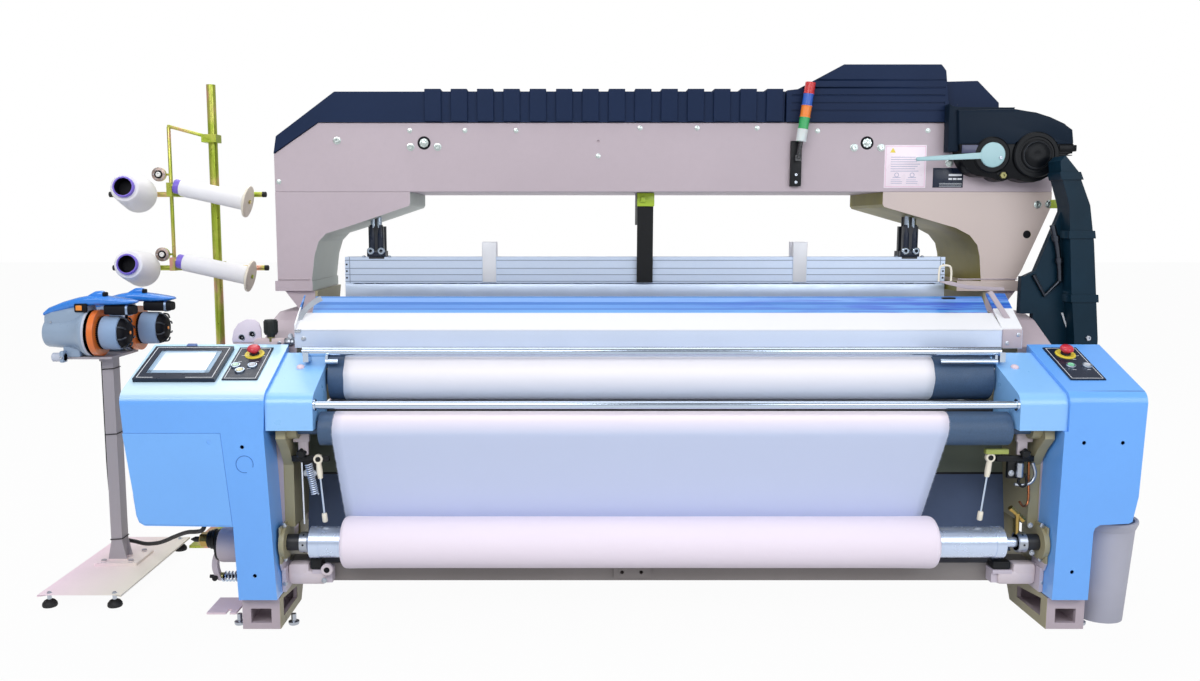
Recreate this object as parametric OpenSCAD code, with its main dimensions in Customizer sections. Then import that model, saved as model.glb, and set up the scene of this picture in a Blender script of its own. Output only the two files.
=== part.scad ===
// Wide filament power loom with an overhead dobby gantry and its weft supply.
// Millimetres. Inside the modules X = 0 is midway between the side frames, Y = 0 is the
// front of the feet with +Y to the warp side, and Z = 0 is the floor.

/* [Side frames] */
// Half the clear width between the side frames
frame_in = 1190; // [1100:5:1300]
// Width of a side frame casting
frame_w = 118; // [90:1:160]
// Depth of the side frames from front to back
frame_d = 1500; // [1400:10:1700]
// Height of the frame top that carries the gantry
frame_top = 947; // [900:5:990]
// Wall of the frame castings
frame_wall = 16; // [10:1:24]
// Rim of the frame castings around their windows
frame_rim = 46; // [30:1:60]

/* [Gantry] */
// Front face of the gantry
gantry_y = 550; // [530:5:570]
// Depth of the gantry
gantry_d = 400; // [380:5:440]
// Underside of the gantry beam
beam_z = 1365; // [1350:5:1400]
// Height of the gantry beam
beam_h = 239; // [200:1:260]
// Left end of the gantry beam
beam_x0 = -1320; // [-1360:5:-1310]
// Right end of the gantry beam
beam_x1 = 1403; // [1380:1:1420]
// Wall of the gantry beam and its brackets
beam_wall = 12; // [8:1:16]
// Height of the ribbed top cover over the beam
top_cover_h = 105; // [80:1:120]
// Pitch of the ribs on the top cover
rib_pitch = 91; // [85:1:110]
// Width of one rib on the top cover
rib_w = 57; // [40:1:66]
// Number of ribs on the top cover
rib_count = 14; // [6:1:14]
// Height of a rib
rib_t = 8; // [4:1:10]

/* [Cloth path] */
// Left edge of the cloth
cloth_x0 = -1010; // [-1030:5:-990]
// Right edge of the cloth
cloth_x1 = 870; // [850:5:900]
// Drawn thickness of the cloth
cloth_t = 1; // [0.6:0.1:1.4]
// Radius of the take-up roller
take_up_r = 75; // [70:1:77]
// Depth of the take-up roller axis
take_up_y = 225; // [222:1:230]
// Height of the take-up roller axis
take_up_z = 760; // [756:1:764]
// Radius of the lower guide roller
guide_r = 52; // [48:1:54]
// Depth of the guide roller axis
guide_y = 52; // [50:1:56]
// Height of the guide roller axis
guide_z = 625; // [620:1:628]
// Radius of the hidden press roller
press_r = 34; // [30:1:36]
// Radius of the wound cloth on the cloth roll
roll_r = 81; // [70:1:84]
// Radius of the steel core of the cloth roll
core_r = 48; // [40:1:50]
// Depth of the cloth roll axis
roll_y = 50; // [48:1:56]
// Height of the cloth roll axis
roll_z = 263; // [258:1:266]
// Radius of the guard bar in front of the rollers
bar_r = 12; // [10:0.5:13]
// Radius of the clamp tube above the cloth
tube_r = 16; // [13:0.5:17]
// Front face of the breast beam
breast_y = 262; // [260:1:268]
// Lower edge of the breast beam
breast_z = 850; // [849:1:854]
// Height of the breast beam
breast_h = 57; // [50:1:60]

/* [Covers] */
// Front face of the covers
cover_y = -30; // [-40:1:-24]
// Back of the covers
cover_back = 270; // [262:1:276]
// Wall of the covers
cover_wall = 3; // [2:0.5:4]
// Slope of the operating panels
panel_slope = 21.5; // [18:0.5:24]
// Depth at which the panel slope begins
slope_y = 20; // [12:1:26]
// Height at which the panel slope begins
slope_z = 762; // [750:1:770]
// Outer side of the left control box
box_x0 = -1652; // [-1690:1:-1640]
// Outer side of the right cover
cover_x1 = 1450; // [1445:1:1490]
// Inner side of both covers at the top
cover_in = 1212; // [1211:1:1218]
// Inner width limit of the arm covers
arm_in = 1068; // [1062:1:1074]
// Height of the underside of the arm covers
arm_z = 632; // [628:1:640]

/* [Buttons] */
// Radius of a push button cap
button_r = 10.5; // [9:0.5:12]
// Radius of a button stem
stem_r = 6; // [4:0.5:7]
// Radius of a mushroom stop head
stop_r = 21; // [18:0.5:24]
// Radius of a stop head stem
stop_stem_r = 10; // [8:0.5:11]
// Clearance round a stem
stem_gap = 0.2; // [0.1:0.05:0.4]

/* [Weaving] */
// Pitch of the heald frames
heald_pitch = 24; // [22:1:28]
// Thickness of a heald frame rail
heald_t = 12; // [9:0.5:13]
// Front face of the first heald frame
heald_y = 640; // [636:1:646]
// Top of a raised heald frame
heald_top = 1135; // [1125:1:1145]
// Overall height of a heald frame
heald_h = 560; // [540:5:580]
// Height of the upper heald frame rail
heald_rail = 94; // [80:1:100]
// Height between the raised and lowered place of a frame
shed_lift = 90; // [70:1:92]
// Number of heddles drawn in a frame
heddle_count = 56; // [20:1:60]
// Depth of the sley and its rocking shaft
sley_y = 530; // [526:1:536]
// Height of the rocking shaft
sley_z = 330; // [325:1:340]
// Underside of the reed
reed_z = 828; // [824:1:834]
// Height of the reed
reed_h = 124; // [110:1:128]
// Number of gaps drawn in the reed
reed_gaps = 110; // [40:1:120]

/* [Warp side] */
// Depth of the warp beam axis
beam_axis_y = 1280; // [1270:5:1300]
// Height of the warp beam axis
beam_axis_z = 470; // [460:5:480]
// Radius of the warp beam flanges
flange_r = 380; // [360:5:400]
// Radius of the warp wound on the beam
warp_r = 310; // [200:5:330]
// Radius of the back rest roller
rest_r = 60; // [50:1:66]
// Depth of the back rest roller
rest_y = 1420; // [1410:5:1430]
// Height of the back rest roller
rest_z = 905; // [895:5:915]
// Radius of the warp beam journals
journal_r = 30; // [25:1:34]

/* [Drive] */
// Depth of the main shaft
main_y = 428; // [424:1:432]
// Height of the main shaft
main_z = 480; // [470:1:490]
// Radius of the main shaft
main_r = 24; // [18:0.5:26]
// Radius of the main pulley
pulley_r = 150; // [120:5:165]
// Radius of the motor pulley
motor_pulley_r = 60; // [50:1:80]
// Depth of the motor axis
motor_y = 830; // [800:5:850]
// Height of the motor axis
motor_z = 215; // [200:5:230]
// Width of the drive belt
belt_w = 40; // [30:1:44]

/* [Weft stand] */
// Left edge of the stand plate
stand_x0 = -2035; // [-2050:5:-2020]
// Right edge of the stand plate
stand_x1 = -1760; // [-1780:5:-1750]
// Front edge of the stand plate
stand_y0 = 167; // [150:1:180]
// Back edge of the stand plate
stand_y1 = 785; // [770:1:800]
// Height of the stand plate above the floor
stand_h = 45; // [38:1:60]
// Thickness of the stand plate
stand_t = 6; // [4:0.5:10]
// Side of the square stand post
post_w = 52; // [40:1:60]
// Post axis across the loom
post_x = -1902; // [-1910:1:-1895]
// Post axis in depth
post_y = 510; // [500:1:520]
// Top of the stand post
post_top = 790; // [780:1:795]
// Height of the feeder axis
feeder_z = 880; // [876:1:890]
// Depth of the first feeder
feeder_y = 450; // [440:1:455]
// Step from the first to the second feeder, across
feeder_step_x = 65; // [50:1:80]
// Step from the first to the second feeder, in depth
feeder_step_y = 170; // [165:1:190]
// Radius of the winding disc
disc_r = 80; // [74:1:84]
// Radius of the feeder drum
drum_r = 58; // [50:1:62]

/* [Creel] */
// Creel pole axis across the loom
pole_x = -1650; // [-1655:1:-1645]
// Creel pole axis in depth
pole_y = 900; // [880:5:930]
// Radius of the creel pole
pole_r = 17; // [14:0.5:20]
// Top of the creel pole
pole_top = 1780; // [1740:5:1795]
// Height of the upper package arm
arm_hi = 1366; // [1350:1:1380]
// Height of the lower package arm
arm_lo = 1086; // [1070:1:1100]
// Left end of the package arms
arm_x0 = -2042; // [-2060:1:-2030]
// Right end of the package arms
arm_x1 = -1447; // [-1460:1:-1440]
// Radius of the package arms
arm_r = 10; // [8:0.5:12]
// Axis of the cones across the loom
cone_x = -1915; // [-1940:5:-1880]

/* [Waste bin] */
// Radius of the waste bin at its rim
bin_r = 98; // [90:1:99]
// Radius of the waste bin at its base
bin_base_r = 70; // [60:1:80]
// Height of the waste bin
bin_h = 325; // [280:1:328]
// Wall of the waste bin
bin_wall = 3; // [2:0.5:4]

/* [Hidden] */
$fn = 48;
EPS = 0.01;
seat = 0.3;
run_gap = 0.05;

frame_out = frame_in + frame_w;
beam_top = beam_z + beam_h;
gantry_back = gantry_y + gantry_d;
shoulder_z = 600;
shoulder_back = 286;
front_post_y = 90;
column_z = 105;
foot_d = 250;
arch_z = 150;
flange_z = 1018;
flange_t = 35;
disc_x = -1912;
rail_t = 8;
drum_len = 66;
pedal_y = 120;
pedal_z = 45;
pedal_r = 8;
rest_pin_r = 20;
motor_pin_r = 14;
plate_t = 30;
lift_r = 8;
box_floor = 336;
cable_r = 7;
gland_r = 12;
cable_sides = 10;
cable_route = [
    [-1458, 120, 318], [-1459, 121, 300], [-1464, 126, 284], [-1476, 138, 272], [-1495, 158, 263],
    [-1518, 183, 254], [-1543, 210, 245], [-1569, 238, 233], [-1595, 266, 219], [-1621, 294, 204],
    [-1647, 322, 189], [-1673, 350, 173], [-1700, 378, 158], [-1728, 407, 144], [-1757, 437, 132],
    [-1787, 467, 121], [-1816, 498, 112], [-1844, 527, 106], [-1869, 547, 104], [-1893, 554, 106],
    [-1914, 555, 113], [-1929, 553, 126], [-1937, 549, 144], [-1939, 543, 166], [-1938, 537, 192],
    [-1937, 530, 222], [-1936, 524, 256], [-1936, 519, 292], [-1936, 515, 330], [-1936, 512, 370],
    [-1936, 510, 415], [-1936, 510, 460], [-1936, 510, 505], [-1936, 510, 550], [-1936, 510, 595],
    [-1936, 510, 640], [-1936, 510, 685], [-1936, 510, 730], [-1936, 510, 772]];
tube_disc_r = 60;
tube_pin_r = 7;
tube_axis_y = pole_y - pole_r - 2 * arm_r - tube_disc_r - 1;
bin_x = 1412;
bin_y = 112;
duct_x1 = 1506;
feeder_rear = 190;
left_end = disc_x - feeder_rear;
right_end = max(bin_x + bin_r, duct_x1);
front_end = min(roll_y - roll_r, cover_y);
back_end = beam_axis_y + flange_r;
mid_x = (left_end + right_end) / 2;
mid_y = (front_end + back_end) / 2;

// Moves the loom so that the middle of its footprint is the origin.
module placed() translate([-mid_x, -mid_y, 0]) children();

// A box given by its two opposite corners.
module block(lo, hi) translate(lo) cube(hi - lo);

// A (Y, Z) outline drawn from x0 to x1.
module along_x(x0, x1) translate([x0, 0, 0]) rotate([90, 0, 90]) linear_extrude(x1 - x0) children();

// An (X, Z) outline drawn from y0 to y1.
module along_y(y0, y1) translate([0, y1, 0]) rotate([90, 0, 0]) linear_extrude(y1 - y0) children();

// Round bars along each axis.
module rod_x(r, x0, x1, y, z) translate([x0, y, z]) rotate([0, 90, 0]) cylinder(r = r, h = x1 - x0);
module rod_y(r, y0, y1, x, z) translate([x, y0, z]) rotate([-90, 0, 0]) cylinder(r = r, h = y1 - y0);
module rod_z(r, z0, z1, x, y) translate([x, y, z0]) cylinder(r = r, h = z1 - z0);

// Draws its children at the left and, mirrored, at the right.
module both_sides() {
    children();
    mirror([1, 0, 0]) children();
}

// Side frame outline in (Y, Z).
module frame_outline() polygon([
    [0, 0], [foot_d, 0], [foot_d + 50, arch_z - 60], [foot_d + 120, arch_z],
    [frame_d - foot_d - 120, arch_z], [frame_d - foot_d - 50, arch_z - 60],
    [frame_d - foot_d, 0], [frame_d, 0], [frame_d, 110], [frame_d - 35, 320], [frame_d - 60, 560],
    [frame_d - 110, 660], [1190, 850], [1010, frame_top - 20], [960, frame_top],
    [520, frame_top], [430, frame_top - 22], [shoulder_back + 4, 850],
    [shoulder_back, shoulder_z], [front_post_y, shoulder_z - 4], [front_post_y, column_z],
    [0, column_z - 5]]);

// Window outlines of the side frame.
module frame_windows() {
    polygon([[190, 240], [390, 240], [300, 540], [190, 540]]);
    polygon([[640, 260], [900, 260], [900, 600], [640, 600]]);
    polygon([[380, 690], [640, 690], [640, 850], [470, 850], [380, 800]]);
    polygon([[730, 690], [930, 690], [930, 850], [730, 850]]);
    polygon([[1020, 640], [1270, 640], [1160, 790], [1020, 850]]);
}

module side_frame(side) {
    hub_r = 58;
    difference() {
        union() {
            // Web plate and the rim that stands out from it
            along_x(frame_in, frame_in + frame_wall) difference() {
                frame_outline();
                frame_windows();
            }
            along_x(frame_in, frame_out) difference() {
                frame_outline();
                offset(delta = -frame_rim / 2) frame_outline();
            }
            // Hubs that carry the shafts
            rod_x(hub_r, frame_in, frame_out, main_y, main_z);
            rod_x(hub_r, frame_in, frame_out, beam_axis_y, beam_axis_z);
            rod_x(hub_r, frame_in, frame_out, sley_y, sley_z);
            // Arm and boss for the back rest roller
            along_x(frame_in + 22, frame_in + 62) polygon([
                [1150, 790], [1330, 640], [rest_y + 34, rest_z - 20], [rest_y + 30, rest_z + 30],
                [rest_y - 34, rest_z + 20]]);
            rod_x(42, frame_in + 22, frame_in + 62, rest_y, rest_z);
            // Hollow front and back feet
            block([frame_in, 0, 0], [frame_out, foot_d, column_z - 5]);
            block([frame_in, frame_d - foot_d, 0], [frame_out, frame_d, column_z - 5]);
            // Neck under the gantry
            along_y(gantry_y + 10, gantry_back - 10) polygon([
                [frame_in, frame_top - 30], [frame_in + 55, frame_top - 30],
                [frame_in + 55, frame_top], [frame_in + 108, flange_z],
                [frame_in - 8, flange_z], [frame_in, frame_top]]);
        }
        rod_x(main_r + run_gap, frame_in - EPS, frame_out + EPS, main_y, main_z);
        rod_x(journal_r + run_gap, frame_in - EPS, frame_out + EPS, beam_axis_y, beam_axis_z);
        rod_x(journal_r + run_gap, frame_in - EPS, frame_out + EPS, sley_y, sley_z);
        rod_x(rest_pin_r + run_gap, frame_in, frame_out, rest_y, rest_z);
        if (side > 0) rod_x(motor_pin_r + 2, frame_in - EPS, frame_out + EPS, motor_y, motor_z);
        // Hollow of the front foot, its front window and its side window
        block([frame_in + 14, 14, 12], [frame_out - 14, foot_d - 14, column_z - 19]);
        block([frame_in + 28, -1, 20], [frame_out - 26, 20, 66]);
        along_x(frame_in - 1, frame_in + 30) polygon([[38, 28], [38, 86], [200, 66], [200, 28]]);
        // Bearing of the pedal shaft in the left foot
        if (side < 0) rod_x(pedal_r + run_gap, frame_out - 20, frame_out + EPS, pedal_y, pedal_z);
    }
}

module left_side_frame() color([0.79, 0.76, 0.80]) mirror([1, 0, 0]) side_frame(-1);

module right_side_frame() color([0.79, 0.76, 0.80]) side_frame(1);

// Front beam with its slotted adjuster, and two beams further back.
module cross_beams() color([0.74, 0.71, 0.75]) {
    front_z = 120;
    front_h = 58;
    difference() {
        union() {
            block([-frame_in, front_post_y + 12, front_z], [frame_in, 190, front_z + front_h]);
            block([-150, front_post_y + 4, front_z + 10], [-30, front_post_y + 12, front_z + 48]);
        }
        for (x = [-123, -62]) rod_y(6, front_post_y, front_post_y + 40, x, front_z + 29);
    }
    difference() {
        block([-frame_in, 946, arch_z + 2], [frame_in, 1000, arch_z + 54]);
        block([-frame_in - 1, 952, arch_z + 8], [frame_in + 1, 994, arch_z + 48]);
    }
    difference() {
        block([-frame_in, 760, 560], [frame_in, 860, 640]);
        block([-frame_in - 1, 770, 570], [frame_in + 1, 850, 630]);
    }
}

// Grey sheet that closes the front between the frames behind the cloth roll.
module apron() color([0.50, 0.53, 0.52]) {
    apron_t = 4;
    apron_end = frame_in - plate_t - seat;
    along_x(-apron_end, apron_end) polygon([
        [196, 186], [196 + apron_t, 186], [250, 220], [310, 560], [330, 590],
        [326, 594], [306, 562], [246, 222], [196, 190]]);
}

// Plate, bearings, links and knobs that hold the rollers at one side.
module roller_bracket() {
    plate_in = frame_in - plate_t;
    difference() {
        union() {
            along_x(plate_in, frame_in) polygon([
                [front_post_y + 2, 300], [280, 300], [320, 560], [330, 700], [290, 790],
                [230, 805], [175, 770], [120, 690], [16, 664], [8, 600], [48, 560],
                [front_post_y + 2, 500]]);
            rod_x(44, frame_in - 60, plate_in + 1, take_up_y, take_up_z);
            rod_x(32, frame_in - 60, plate_in + 1, guide_y, guide_z);
            rod_x(26, frame_in - 60, plate_in + 1, press_y(), press_z());
        }
        rod_x(25 + run_gap, frame_in - 61, frame_in + EPS, take_up_y, take_up_z);
        rod_x(18 + run_gap, frame_in - 61, frame_in + EPS, guide_y, guide_z);
        rod_x(14 + run_gap, frame_in - 61, frame_in + EPS, press_y(), press_z());
    }
    // Cloth roll bearing with its round flange
    difference() {
        union() {
            along_x(frame_in - 6, frame_in) polygon([
                [22, 180], [100, 180], [100, 205], [150, 205], [150, 320], [10, 320], [10, 205]]);
            rod_x(52, frame_in - 16, frame_in, roll_y, roll_z);
            rod_x(26, frame_in - 84, frame_in, roll_y, roll_z);
        }
        rod_x(16 + run_gap, frame_in - 85, frame_in + EPS, roll_y, roll_z);
    }
    // Rest arm below the roll, with its pad
    along_x(frame_in - 12, frame_in) polygon([[30, 108], [101, 108], [101, 186], [30, 186]]);
    block([frame_in - 150, 60, 128], [frame_in - 10, 100, 161]);
    block([frame_in - 150, 50, 160], [frame_in - 90, 101, 172]);
}

function press_y() = take_up_y - (take_up_r + press_r + cloth_t + 2 * seat) * sin(18);
function press_z() = take_up_z - (take_up_r + press_r + cloth_t + 2 * seat) * cos(18);

module roller_brackets() color([0.76, 0.73, 0.77]) both_sides() roller_bracket();

// A star knob with its axis along Y.
module star_knob(x, y, z) {
    rod_y(11, y, y + 22, x, z);
    for (a = [18 : 72 : 306]) rod_y(5, y, y + 14, x + 12 * cos(a), z + 12 * sin(a));
}

bar_x0 = 1042;
bar_low = 515;
bar_y = 66;
// Eye rod with its clevis, at the right end of the rollers.
module eye_rod() {
    difference() {
        union() {
            rod_y(19, bar_y - 2, bar_y + 12, bar_x0 - 20, bar_low + 4);
            block([bar_x0 - 8, bar_y, bar_low], [bar_x0 + 2, bar_y + 10, bar_low + 12]);
        }
        rod_y(10, bar_y - 3, bar_y + 13, bar_x0 - 20, bar_low + 4);
    }
    translate([bar_x0 - 26, bar_y + 5, bar_low - 12]) rotate([0, 196, 0]) cylinder(r = 5, h = 140);
    translate([bar_x0 - 63, bar_y + 5, bar_low - 138]) rotate([0, 196, 0]) cylinder(r = 12, h = 32);
}

// Adjusting bar, knob and pad at one side of the rollers.
module side_fittings() {
    block([bar_x0, bar_y, bar_low], [frame_in - plate_t - seat, front_post_y - 1, bar_low + 19]);
    star_knob(1125, bar_y - 21, 544);
    rod_y(4, bar_y - 2, bar_y + 6, 1125, 538);
    block([1116, bar_y - 4, bar_low + 10], [1134, bar_y + 8, 548]);
    // Bracket with its bolts under the bar
    block([1078, bar_y + 2, bar_low - 52], [1130, front_post_y - 4, bar_low + 1]);
    for (x = [1090, 1116]) rod_y(8, bar_y - 6, bar_y + 3, x, bar_low - 36);
    // Rubber pad that lies on the rest arm
    block([1042, 54, 172 + seat], [1098, 100, 196]);
}

module roller_fittings() color([0.12, 0.12, 0.13]) {
    both_sides() side_fittings();
    eye_rod();
    // Copper air tube and its brass tee at the right
    rod_z(4, 396, 516, 1146, 78);
    translate([1146, 78, 398]) rotate([0, 292, 0]) cylinder(r = 4, h = 48);
    rod_z(7, roll_z + 26 + seat, 350, 1110, roll_y);
    translate([1084, roll_y, 372]) rotate([0, 132, 0]) cylinder(r = 9, h = 68);
}

// Guard bar between the arm covers.
module guard_bar() {
    guard_y = 0;
    guard_z = 708;
    rod_x(bar_r, -arm_in + seat, arm_in - seat, guard_y, guard_z);
    both_sides() rod_x(bar_r + 6, arm_in - 6, arm_in - seat, guard_y, guard_z);
}

module front_bars() color([0.85, 0.86, 0.88]) {
    guard_bar();
    clamp_tube();
}

tube_y = 170;
tube_z = 849;
module clamp_tube() {
    tube_x0 = -1140;
    tube_x1 = 1080;
    rod_x(tube_r, tube_x0, tube_x1, tube_y, tube_z);
    for (x = [tube_x0 + 4, tube_x1 - 8]) difference() {
        block([x, tube_y - 22, arm_cover_z(tube_y + 22) + seat], [x + 18, tube_y + 22, tube_z]);
        rod_x(tube_r, x - 1, x + 19, tube_y, tube_z);
    }
    // Edge pins under the tube ends
    rod_x(9, -1064, -1024, 150, 820);
    rod_x(9, 884, 1064, 150, 820);
    both_sides() block([1056, 146, 818], [1064, tube_y, tube_z - 8]);
}

module breast_beam() color([0.86, 0.87, 0.88]) {
    end_x = 1129;
    beam_t = 20;
    difference() {
        block([-frame_in, breast_y, breast_z], [end_x, breast_y + beam_t, breast_z + breast_h]);
        block([-frame_in - 1, breast_y + 4, breast_z + 5],
            [end_x + 1, breast_y + beam_t - 4, breast_z + breast_h - 5]);
    }
    both_sides() block([frame_in - 40, breast_y + beam_t - 1, breast_z + 10],
        [frame_in - seat, breast_y + beam_t + 50, breast_z + breast_h - 8]);
    block([end_x, breast_y - 4, breast_z - 1], [frame_in, breast_y + beam_t, breast_z + breast_h + 2]);
}

// White top of the breast, with the brackets at its ends.
module front_cover() {
    white_z0 = breast_z + breast_h + seat;
    along_x(-frame_in, 1125) polygon([
        [breast_y, white_z0], [breast_y + 78, white_z0 + 48], [breast_y + 78, white_z0 + 51],
        [breast_y - 1, white_z0 + 3]]);
    along_x(1125, frame_in) polygon([
        [breast_y, white_z0 + 2], [breast_y + 140, white_z0 + 106], [breast_y + 140, white_z0 + 112],
        [breast_y, white_z0 + 8]]);
    along_x(-frame_in, -frame_in + 5) polygon([
        [breast_y, white_z0], [breast_y + 60, white_z0], [breast_y + 80, white_z0 + 50],
        [breast_y + 140, white_z0 + 106], [breast_y + 60, white_z0 + 60], [breast_y, white_z0 + 20]]);
}

// Blue sheet behind the white cover.
module splash_shield() {
    shield_y = breast_y + 78 + seat;
    shield_z = breast_z + breast_h + 48;
    along_x(-1150, 1110) polygon([
        [shield_y, shield_z], [shield_y + 4, shield_z], [shield_y + 63, shield_z + 54],
        [shield_y + 59, shield_z + 54]]);
}

module breast_covers() color([0.93, 0.93, 0.94]) {
    front_cover();
    splash_shield();
}

// Height of the sloping panels at a depth.
function slope_at(y) = slope_z + (y - slope_y) * tan(panel_slope);
arm_drop = 8;
arm_back_off = 10;
function arm_cover_z(y) = slope_at(y - arm_back_off) - arm_drop;

// Side outline of the covers: front face, round shoulder and sloping panel.
module cover_side(inset, low, back) {
    round_r = 44;
    a = 90 - panel_slope;
    cy = cover_y + round_r;
    cz = slope_at(cover_y + round_r) - round_r / cos(panel_slope);
    r = round_r - inset;
    polygon(concat(
        [[cover_y + inset, low]],
        [for (i = [0 : 8]) [cy - r * cos(i * a / 8), cz + r * sin(i * a / 8)]],
        [[back - inset, slope_at(back - inset) - inset / cos(panel_slope)], [back - inset, low]]));
}

left_front = [
    [box_x0, 900], [box_x0 + 2, 790], [-1638, 627], [-1610, 372], [-1602, 350], [-1586, 340],
    [-1317, 336], [-frame_out, column_z], [-frame_in, column_z], [-cover_in - 3, arm_z],
    [-cover_in, 713], [-cover_in, 900]];

right_front = [
    [cover_in, 900], [cover_in, arm_z - seat], [cover_in - 12, arm_z - seat], [frame_in + seat, column_z],
    [1301, column_z], [1305, 318], [1309, 332], [1324, 342], [1410, 346], [1422, 352],
    [1436, 430], [cover_x1 - 2, 790], [cover_x1, 900]];

// A cover shell from its front outline, open round the side frame behind it.
module cover_shell(front, side) {
    behind = front_post_y - seat;
    difference() {
        intersection() {
            along_y(cover_y - 1, cover_back + 1) polygon(front);
            along_x(-2000, 2000) cover_side(0, 50, cover_back);
        }
        difference() {
            intersection() {
                along_y(cover_y - 1, cover_back + 1) offset(delta = -cover_wall) polygon(front);
                along_x(-2000, 2000) cover_side(cover_wall, 60, cover_back);
            }
            // Walls round the side frame
            frame_room(side, behind - cover_wall, cover_wall);
        }
        frame_room(side, behind, 0);
    }
}

// The space that the side frame takes inside a cover.
module frame_room(side, y0, wall) {
    x0 = side < 0 ? -frame_out - 4 - wall : frame_in - 60;
    x1 = side < 0 ? -frame_in + 60 : frame_out + 4 + wall;
    block([x0, y0, 0], [x1, cover_back + 2, shoulder_z + 8 + wall]);
}

// Puts its children on the sloping panel, at x and at a depth.
module on_slope(x, y) translate([x, y, slope_at(y)]) rotate([panel_slope, 0, 0]) children();

stop_y = 200;
button_y = 130;
mark_y = 101;
left_stop_x = -1303;
left_start_x = -1343;
left_jog_x = -1290;
left_mark_x = -1321;
right_stop_x = 1304;
right_start_x = 1287;
right_jog_x = 1338;

module stem_holes(stop_x, buttons) {
    on_slope(stop_x, stop_y) translate([0, 0, -20]) cylinder(r = stop_stem_r + stem_gap, h = 40);
    for (b = buttons) on_slope(b[0], b[1]) translate([0, 0, -20]) cylinder(r = stem_r + stem_gap, h = 40);
}

left_buttons = [[left_start_x, button_y], [left_jog_x, button_y], [left_mark_x, mark_y]];
right_buttons = [[right_start_x, button_y], [right_jog_x, button_y]];

module control_box() color([0.50, 0.73, 0.98]) {
    difference() {
        cover_shell(left_front, -1);
        stem_holes(left_stop_x, left_buttons);
        // Recess for the lower cover
        along_y(cover_y - 2, cover_y + 2) offset(delta = 1) lower_cover_outline();
        // Way for the clutch shaft and bolt holes of the column
        rod_x(42, -frame_out - 30, -frame_out + 1, clutch_y, clutch_z);
        for (h = [[-1281, 584], [-1256, 182]]) rod_y(6, cover_y - 1, cover_y + 5, h[0], h[1]);
    }
    // Gland of the supply cable under the box
    rod_z(gland_r, cable_route[0][2], box_floor + 8, cable_route[0][0], cable_route[0][1]);
}

module lower_cover_outline() polygon([
    [-1640.5, 626], [-1346, 626], [-1319, 340], [-1586, 344], [-1602, 354], [-1608, 374]]);

module box_lower_cover() color([0.48, 0.71, 0.97]) difference() {
    along_y(cover_y - 0.6, cover_y + 2) lower_cover_outline();
    rod_y(7, cover_y - 2, cover_y + 1, -1380, 600);
}

module touch_screen() {
    screen_w = 252;
    screen_l = 210;
    on_slope(-1506, 140) translate([0, 0, 6 + seat]) difference() {
        cube([screen_w, screen_l, 12], center = true);
        translate([0, 4, 6]) cube([screen_w - 56, screen_l - 66, 4], center = true);
    }
}

// Panel plates with the rings round their buttons.
module button_panel(x, w, stop_x, buttons) {
    plate_t = 4;
    difference() {
        union() {
            on_slope(x, 148) translate([0, 0, plate_t / 2 + seat]) cube([w, 205, plate_t], center = true);
            on_slope(stop_x, stop_y) translate([0, 0, seat]) cylinder(r = 30, h = 6);
            on_slope(stop_x, stop_y) translate([0, 0, seat]) cylinder(r = 15, h = 12);
            for (b = buttons) on_slope(b[0], b[1]) translate([0, 0, seat]) cylinder(r = 14.5, h = 9);
        }
        on_slope(stop_x, stop_y) translate([0, 0, -1]) cylinder(r = stop_stem_r + stem_gap, h = 20);
        for (b = buttons) on_slope(b[0], b[1])
            translate([0, 0, -1]) cylinder(r = button_r + stem_gap, h = 20);
    }
}

module operating_panels() color([0.14, 0.18, 0.28]) {
    touch_screen();
    button_panel(-1308, 109, left_stop_x, left_buttons);
    button_panel(1305, 109, right_stop_x, right_buttons);
}

module push_button(x, y) on_slope(x, y) {
    cap_t = 5;
    stem_l = 14;
    translate([0, 0, 6]) cylinder(r = button_r, h = cap_t);
    translate([0, 0, -stem_l]) cylinder(r = stem_r, h = stem_l + 7);
}

module stop_button(x) on_slope(x, stop_y) {
    head_t = 10;
    translate([0, 0, -16]) cylinder(r = stop_stem_r, h = 38);
    translate([0, 0, 20]) cylinder(r = stop_r, h = head_t);
    translate([0, 0, 20 + head_t]) cylinder(r1 = stop_r, r2 = stop_r - 7, h = 5);
}

module left_stop_button() color([0.82, 0.10, 0.12]) stop_button(left_stop_x);
module right_stop_button() color([0.82, 0.10, 0.12]) stop_button(right_stop_x);
module left_button_start() color([0.78, 0.88, 0.80]) push_button(left_start_x, button_y);
module left_button_jog() color([0.72, 0.74, 0.78]) push_button(left_jog_x, button_y);
module left_button_mark() color([0.90, 0.87, 0.70]) push_button(left_mark_x, mark_y);
module right_button_start() color([0.40, 0.75, 0.50]) push_button(right_start_x, button_y);
module right_button_jog() color([0.80, 0.81, 0.84]) push_button(right_jog_x, button_y);

module right_cover() color([0.50, 0.73, 0.98]) difference() {
    cover_shell(right_front, 1);
    stem_holes(right_stop_x, right_buttons);
    for (h = [[1260, 597], [1377, 597], [1247, 194]]) rod_y(6, cover_y - 1, cover_y + 5, h[0], h[1]);
}

// Covers over the roller bearings, open at the back and below.
module arm_cover() {
    arm_out = cover_in - seat;
    arm_back = 240;
    difference() {
        translate([0, arm_back_off, -arm_drop]) along_x(arm_in, arm_out)
            cover_side(0, arm_z + arm_drop, arm_back - 10);
        translate([0, arm_back_off, -arm_drop]) along_x(arm_in + cover_wall, arm_out - cover_wall)
            difference() {
                cover_side(cover_wall, arm_z - 20, arm_back + 20);
            }
        // Ways for the roller journals
        block([arm_in - 1, press_y() - 20, 600], [arm_in + 8, arm_back + 1, take_up_z + 34]);
        block([arm_in - 1, guide_y - 26, 600], [arm_in + 8, guide_y + 26, guide_z + 26]);
    }
}

module arm_covers() color([0.52, 0.75, 0.99]) both_sides() arm_cover();

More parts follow.
